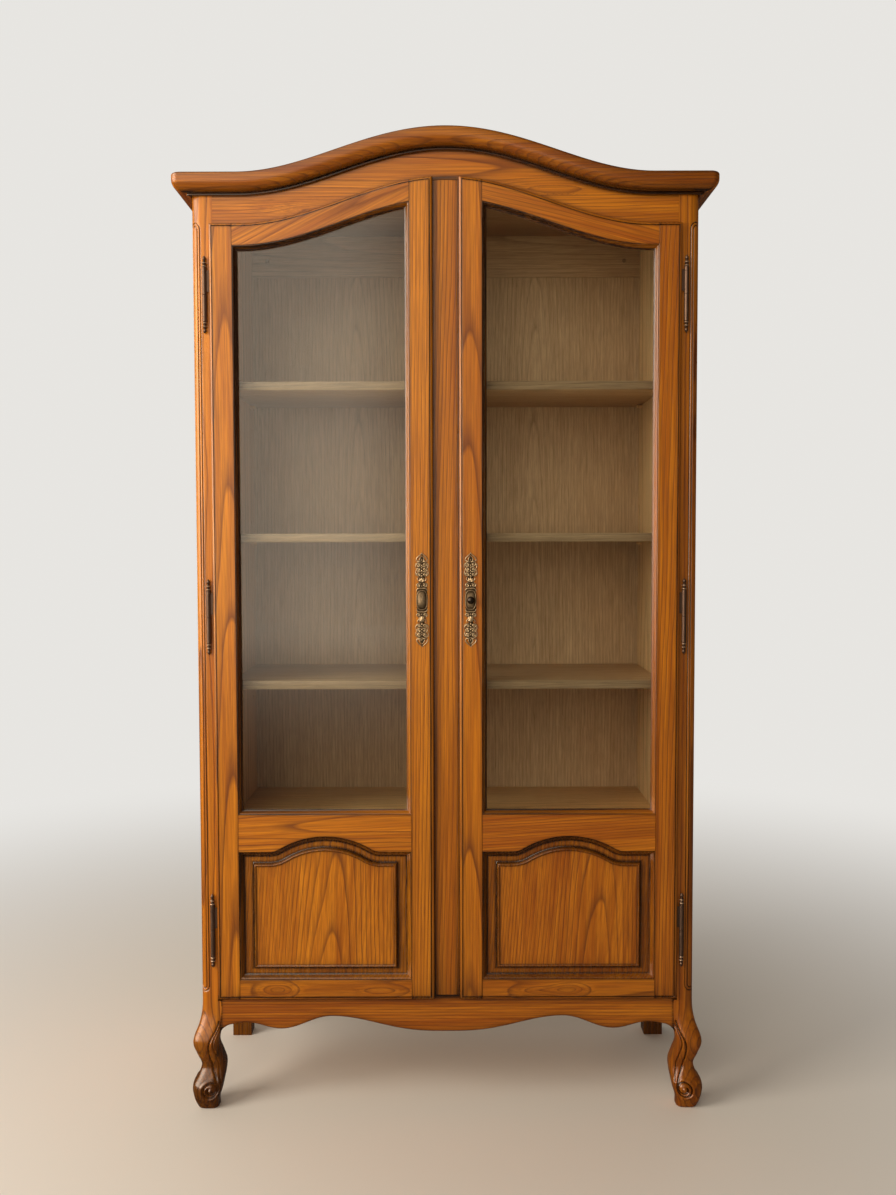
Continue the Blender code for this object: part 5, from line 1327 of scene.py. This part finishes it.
def taper(count, start, middle, end):
    """Half widths along a strand that swell from the start to the middle and thin to the end."""
    s = shares(count)
    thin = between(middle, end, ease(s, 0.5, 1.0))
    return np.where(s < 0.5, between(start, middle, ease(s, 0.0, 0.5)), thin)


def squared(way, power):
    """A sine or cosine made squarer or rounder by a power of its size."""
    return np.sign(way) * np.abs(way) ** power


def mound(centre, half_x, half_z, rise, petals=0, depth=0.0, rubbed=1.0, power=1.0):
    """A dome on an oval, which may be squared or scalloped: rings from rim to crown, and their wear."""
    share = np.sin(np.linspace(0.0, np.pi / 2 * 0.985, 9))[::-1, None]
    turn = np.linspace(0.0, 2 * np.pi, 48, endpoint=False)[None]
    scallop = depth * np.cos(petals * turn)
    x = centre[0] + half_x * share * (1 + scallop * share) * squared(np.cos(turn), power)
    z = centre[1] + half_z * share * (1 + scallop * share) * squared(np.sin(turn), power)
    crown = np.sqrt(1 - share**2)
    rings = joined(x, -rise * crown * (1 + scallop * share), z)
    return rings, rubbed * np.broadcast_to(0.1 + 0.9 * crown * (1 + 2.0 * scallop), rings.shape[:2])


def teardrop(foot, angle, length, width):
    """A leaf from a foot point at an angle in degrees, broad towards its tip."""
    s = shares(14)
    way = np.array((math.cos(math.radians(angle)), math.sin(math.radians(angle))))
    half = width * np.sqrt(np.clip(s * (1.02 - s), 0.0, None)) * (0.55 + 0.9 * s)
    return strand(np.array(foot) + length * s[:, None] * way, half + 0.12, 1.2 + 1.5 * np.sin(np.pi * s))


def both(path, start, middle, end, rise):
    """A strand and its mirror image across the plate's middle line."""
    half = taper(len(path), start, middle, end)
    lift = rise * (0.45 + 0.55 * half / half.max())
    return [strand(path, half, lift), strand(path * (-1, 1), half, lift)]


# Strands of one quarter of a plate, in millimetres from its middle: a path, half widths at the start, middle
# and end, and a rise.
QUARTER = (
    (bow((0.0, 99.0), (2.4, 92.0), (12.6, 90.0), (9.8, 81.0)), 0.35, 1.2, 0.8, 2.2),
    (bow((0.0, 92.5), (4.8, 88.0), (6.2, 82.5), (0.6, 78.5)), 0.5, 0.95, 0.5, 2.0),
    (scroll((6.0, 74.6), 115, -1.5, 4.9, 1.0), 0.8, 1.25, 0.7, 2.6),
    (scroll((6.3, 64.0), -120, 1.5, 5.0, 1.0), 0.8, 1.3, 0.7, 2.6),
    (scroll((5.9, 53.6), 115, -1.5, 4.9, 1.0), 0.8, 1.25, 0.7, 2.6),
    (bow((10.6, 77.5), (12.8, 73.0), (12.4, 68.5), (9.8, 66.0)), 0.5, 0.9, 0.5, 2.0),
    (bow((10.8, 62.5), (12.8, 58.0), (12.2, 52.5), (8.6, 49.5)), 0.5, 0.9, 0.5, 2.0),
    (bow((1.0, 38.0), (7.5, 39.6), (10.2, 45.0), (6.4, 47.5)), 0.6, 1.1, 0.5, 2.2),
    (scroll((6.2, 31.0), 150, -1.45, 5.0, 1.1), 0.7, 1.3, 0.7, 2.6),
    (bow((0.0, 24.4), (5.0, 25.4), (9.6, 25.0), (10.4, 19.0)), 1.1, 1.3, 0.7, 2.4),
)
LEAF_HEIGHTS, LEAF_TURN, LEAF_LONG, LEAF_BROAD = (58.8, 69.3, 79.8), 12, 9.6, 2.6
BEAD_RISE, EYE_BEAD = 2.7, 1.3
BEADS = ((50.2, 1.9), (56.0, 1.5), (61.6, 1.9), (67.4, 1.5), (72.6, 1.7), (83.6, 1.4), (29.6, 1.5))
SCROLL_EYES = ((6.0, 74.6), (6.3, 64.0), (5.9, 53.6), (6.2, 31.0))
FAN = ((90, 9.0), (62, 8.4), (118, 8.4), (34, 7.2), (146, 7.2))
FAN_FOOT, FAN_BROAD, ROSE = (0.0, 38.0), 3.0, (0.0, -40.0)
BOSS_RISE = {-1: 5.4, 1: 1.7}
BOSS_POWER = 0.72


def plate_parts(side):
    """All the strips, leaves and domes of one plate, in millimetres from its middle."""
    levels, halves = np.array(PLATE_OUTLINE).T
    z = np.linspace(levels[0], levels[-1], 150)
    half = np.interp(z, levels, halves) * (1 + 0.09 * np.cos(1.25 * z))
    # The back is dark all over, as painted shade in the gaps between the scrolls.
    parts = [strand(joined(0.0, z), half, np.full(len(z), 1.1), 0.05)]
    for end in (1, -1):
        for path, *form in QUARTER:
            parts += both(path * (1, end), *form)
        for height in LEAF_HEIGHTS:
            for angle in (LEAF_TURN * end, 180 - LEAF_TURN * end):
                parts.append(teardrop((0.0, end * height), angle, LEAF_LONG, LEAF_BROAD))
        parts += [mound((0.0, end * height), size, size, BEAD_RISE) for height, size in BEADS]
        for x, height in SCROLL_EYES:
            parts += [mound((way * x, end * height), EYE_BEAD, EYE_BEAD, BEAD_RISE) for way in (-1, 1)]
    parts += [teardrop(FAN_FOOT, angle, length, FAN_BROAD) for angle, length in FAN]
    parts += [mound(ROSE, 6.4, 6.4, 3.6, petals=8, depth=0.13), mound(ROSE, 2.2, 2.2, 4.6)]
    turn = np.linspace(0.0, 2 * np.pi, 61)
    oval = joined(9.9 * squared(np.cos(turn), BOSS_POWER), 20.0 * squared(np.sin(turn), BOSS_POWER))
    parts.append(strand(oval, np.full(61, 1.1), np.full(61, 2.3), 0.55))
    parts.append(mound((0.0, 0.0), 9.4, 19.5, BOSS_RISE[side], rubbed=0.42, power=BOSS_POWER))
    return parts


for word, side in SIDES:
    points, faces, wear = [], [], []
    for rings, rubbed in plate_parts(side):
        faces += ring_faces(rings, sum(len(held) for held in points))
        points.append(rings.reshape(-1, 3) * PLATE_SCALE + (side * LOCK_X, PLATE_BACK, LOCK_HEIGHT))
        wear.append(rubbed.reshape(-1))
    wear = np.concatenate(wear)
    piece(f"{word}_door_plate", aged_brass, np.vstack(points), faces, wear=wear, crease=60.0)

# The turn knob: a polished dark bronze ball on a collar, and its spindle through the stile with a cam behind.
# The cam and the magnet catch of the left door have the hinges' brown finish.
polished_bronze = metal("polished_bronze", (0.022, 0.015, 0.010), (0.160, 0.105, 0.065), 0.20, 0.16)
KNOB_BASE = PLATE_BACK - 0.002 - FIT
BALL, BALL_OUT = 0.0080, 0.011
KNOB_WEAR, KNOB_CREST = 0.35, (0.2105, 0.2190)
SPINDLE = 0.0040
SPINDLE_END = FRAME_BACK + 0.0075
ball = arc((0.0, BALL_OUT), BALL, -62.0, 90.0, 26) * (1, -1) + (0.0, KNOB_BASE)
ball[-1, 0] = 0.0
spindle = ((0.0, SPINDLE_END), (SPINDLE, SPINDLE_END), (SPINDLE, KNOB_BASE + 0.0004))
collar = np.array(((6.8, -0.4), (7.0, 0.0), (6.8, 0.6), (5.2, 1.0), (4.2, 1.8), (3.8, 3.0))) * (MM, -MM)
profile = np.vstack((spindle, collar + (0.0, KNOB_BASE), ball))
rings = lathe(profile, (LOCK_X, 0.0, LOCK_HEIGHT), 40, "Y")
wear = np.repeat(KNOB_WEAR * ease(-profile[:, 1], *KNOB_CREST), rings.shape[1])
piece("turn_knob", polished_bronze, rings, ring_faces(rings), wear=wear, crease=60.0)
for node in ("latch_cam", "left_catch_magnet", "left_catch_strike"):
    repaint(node, brown_bronze)
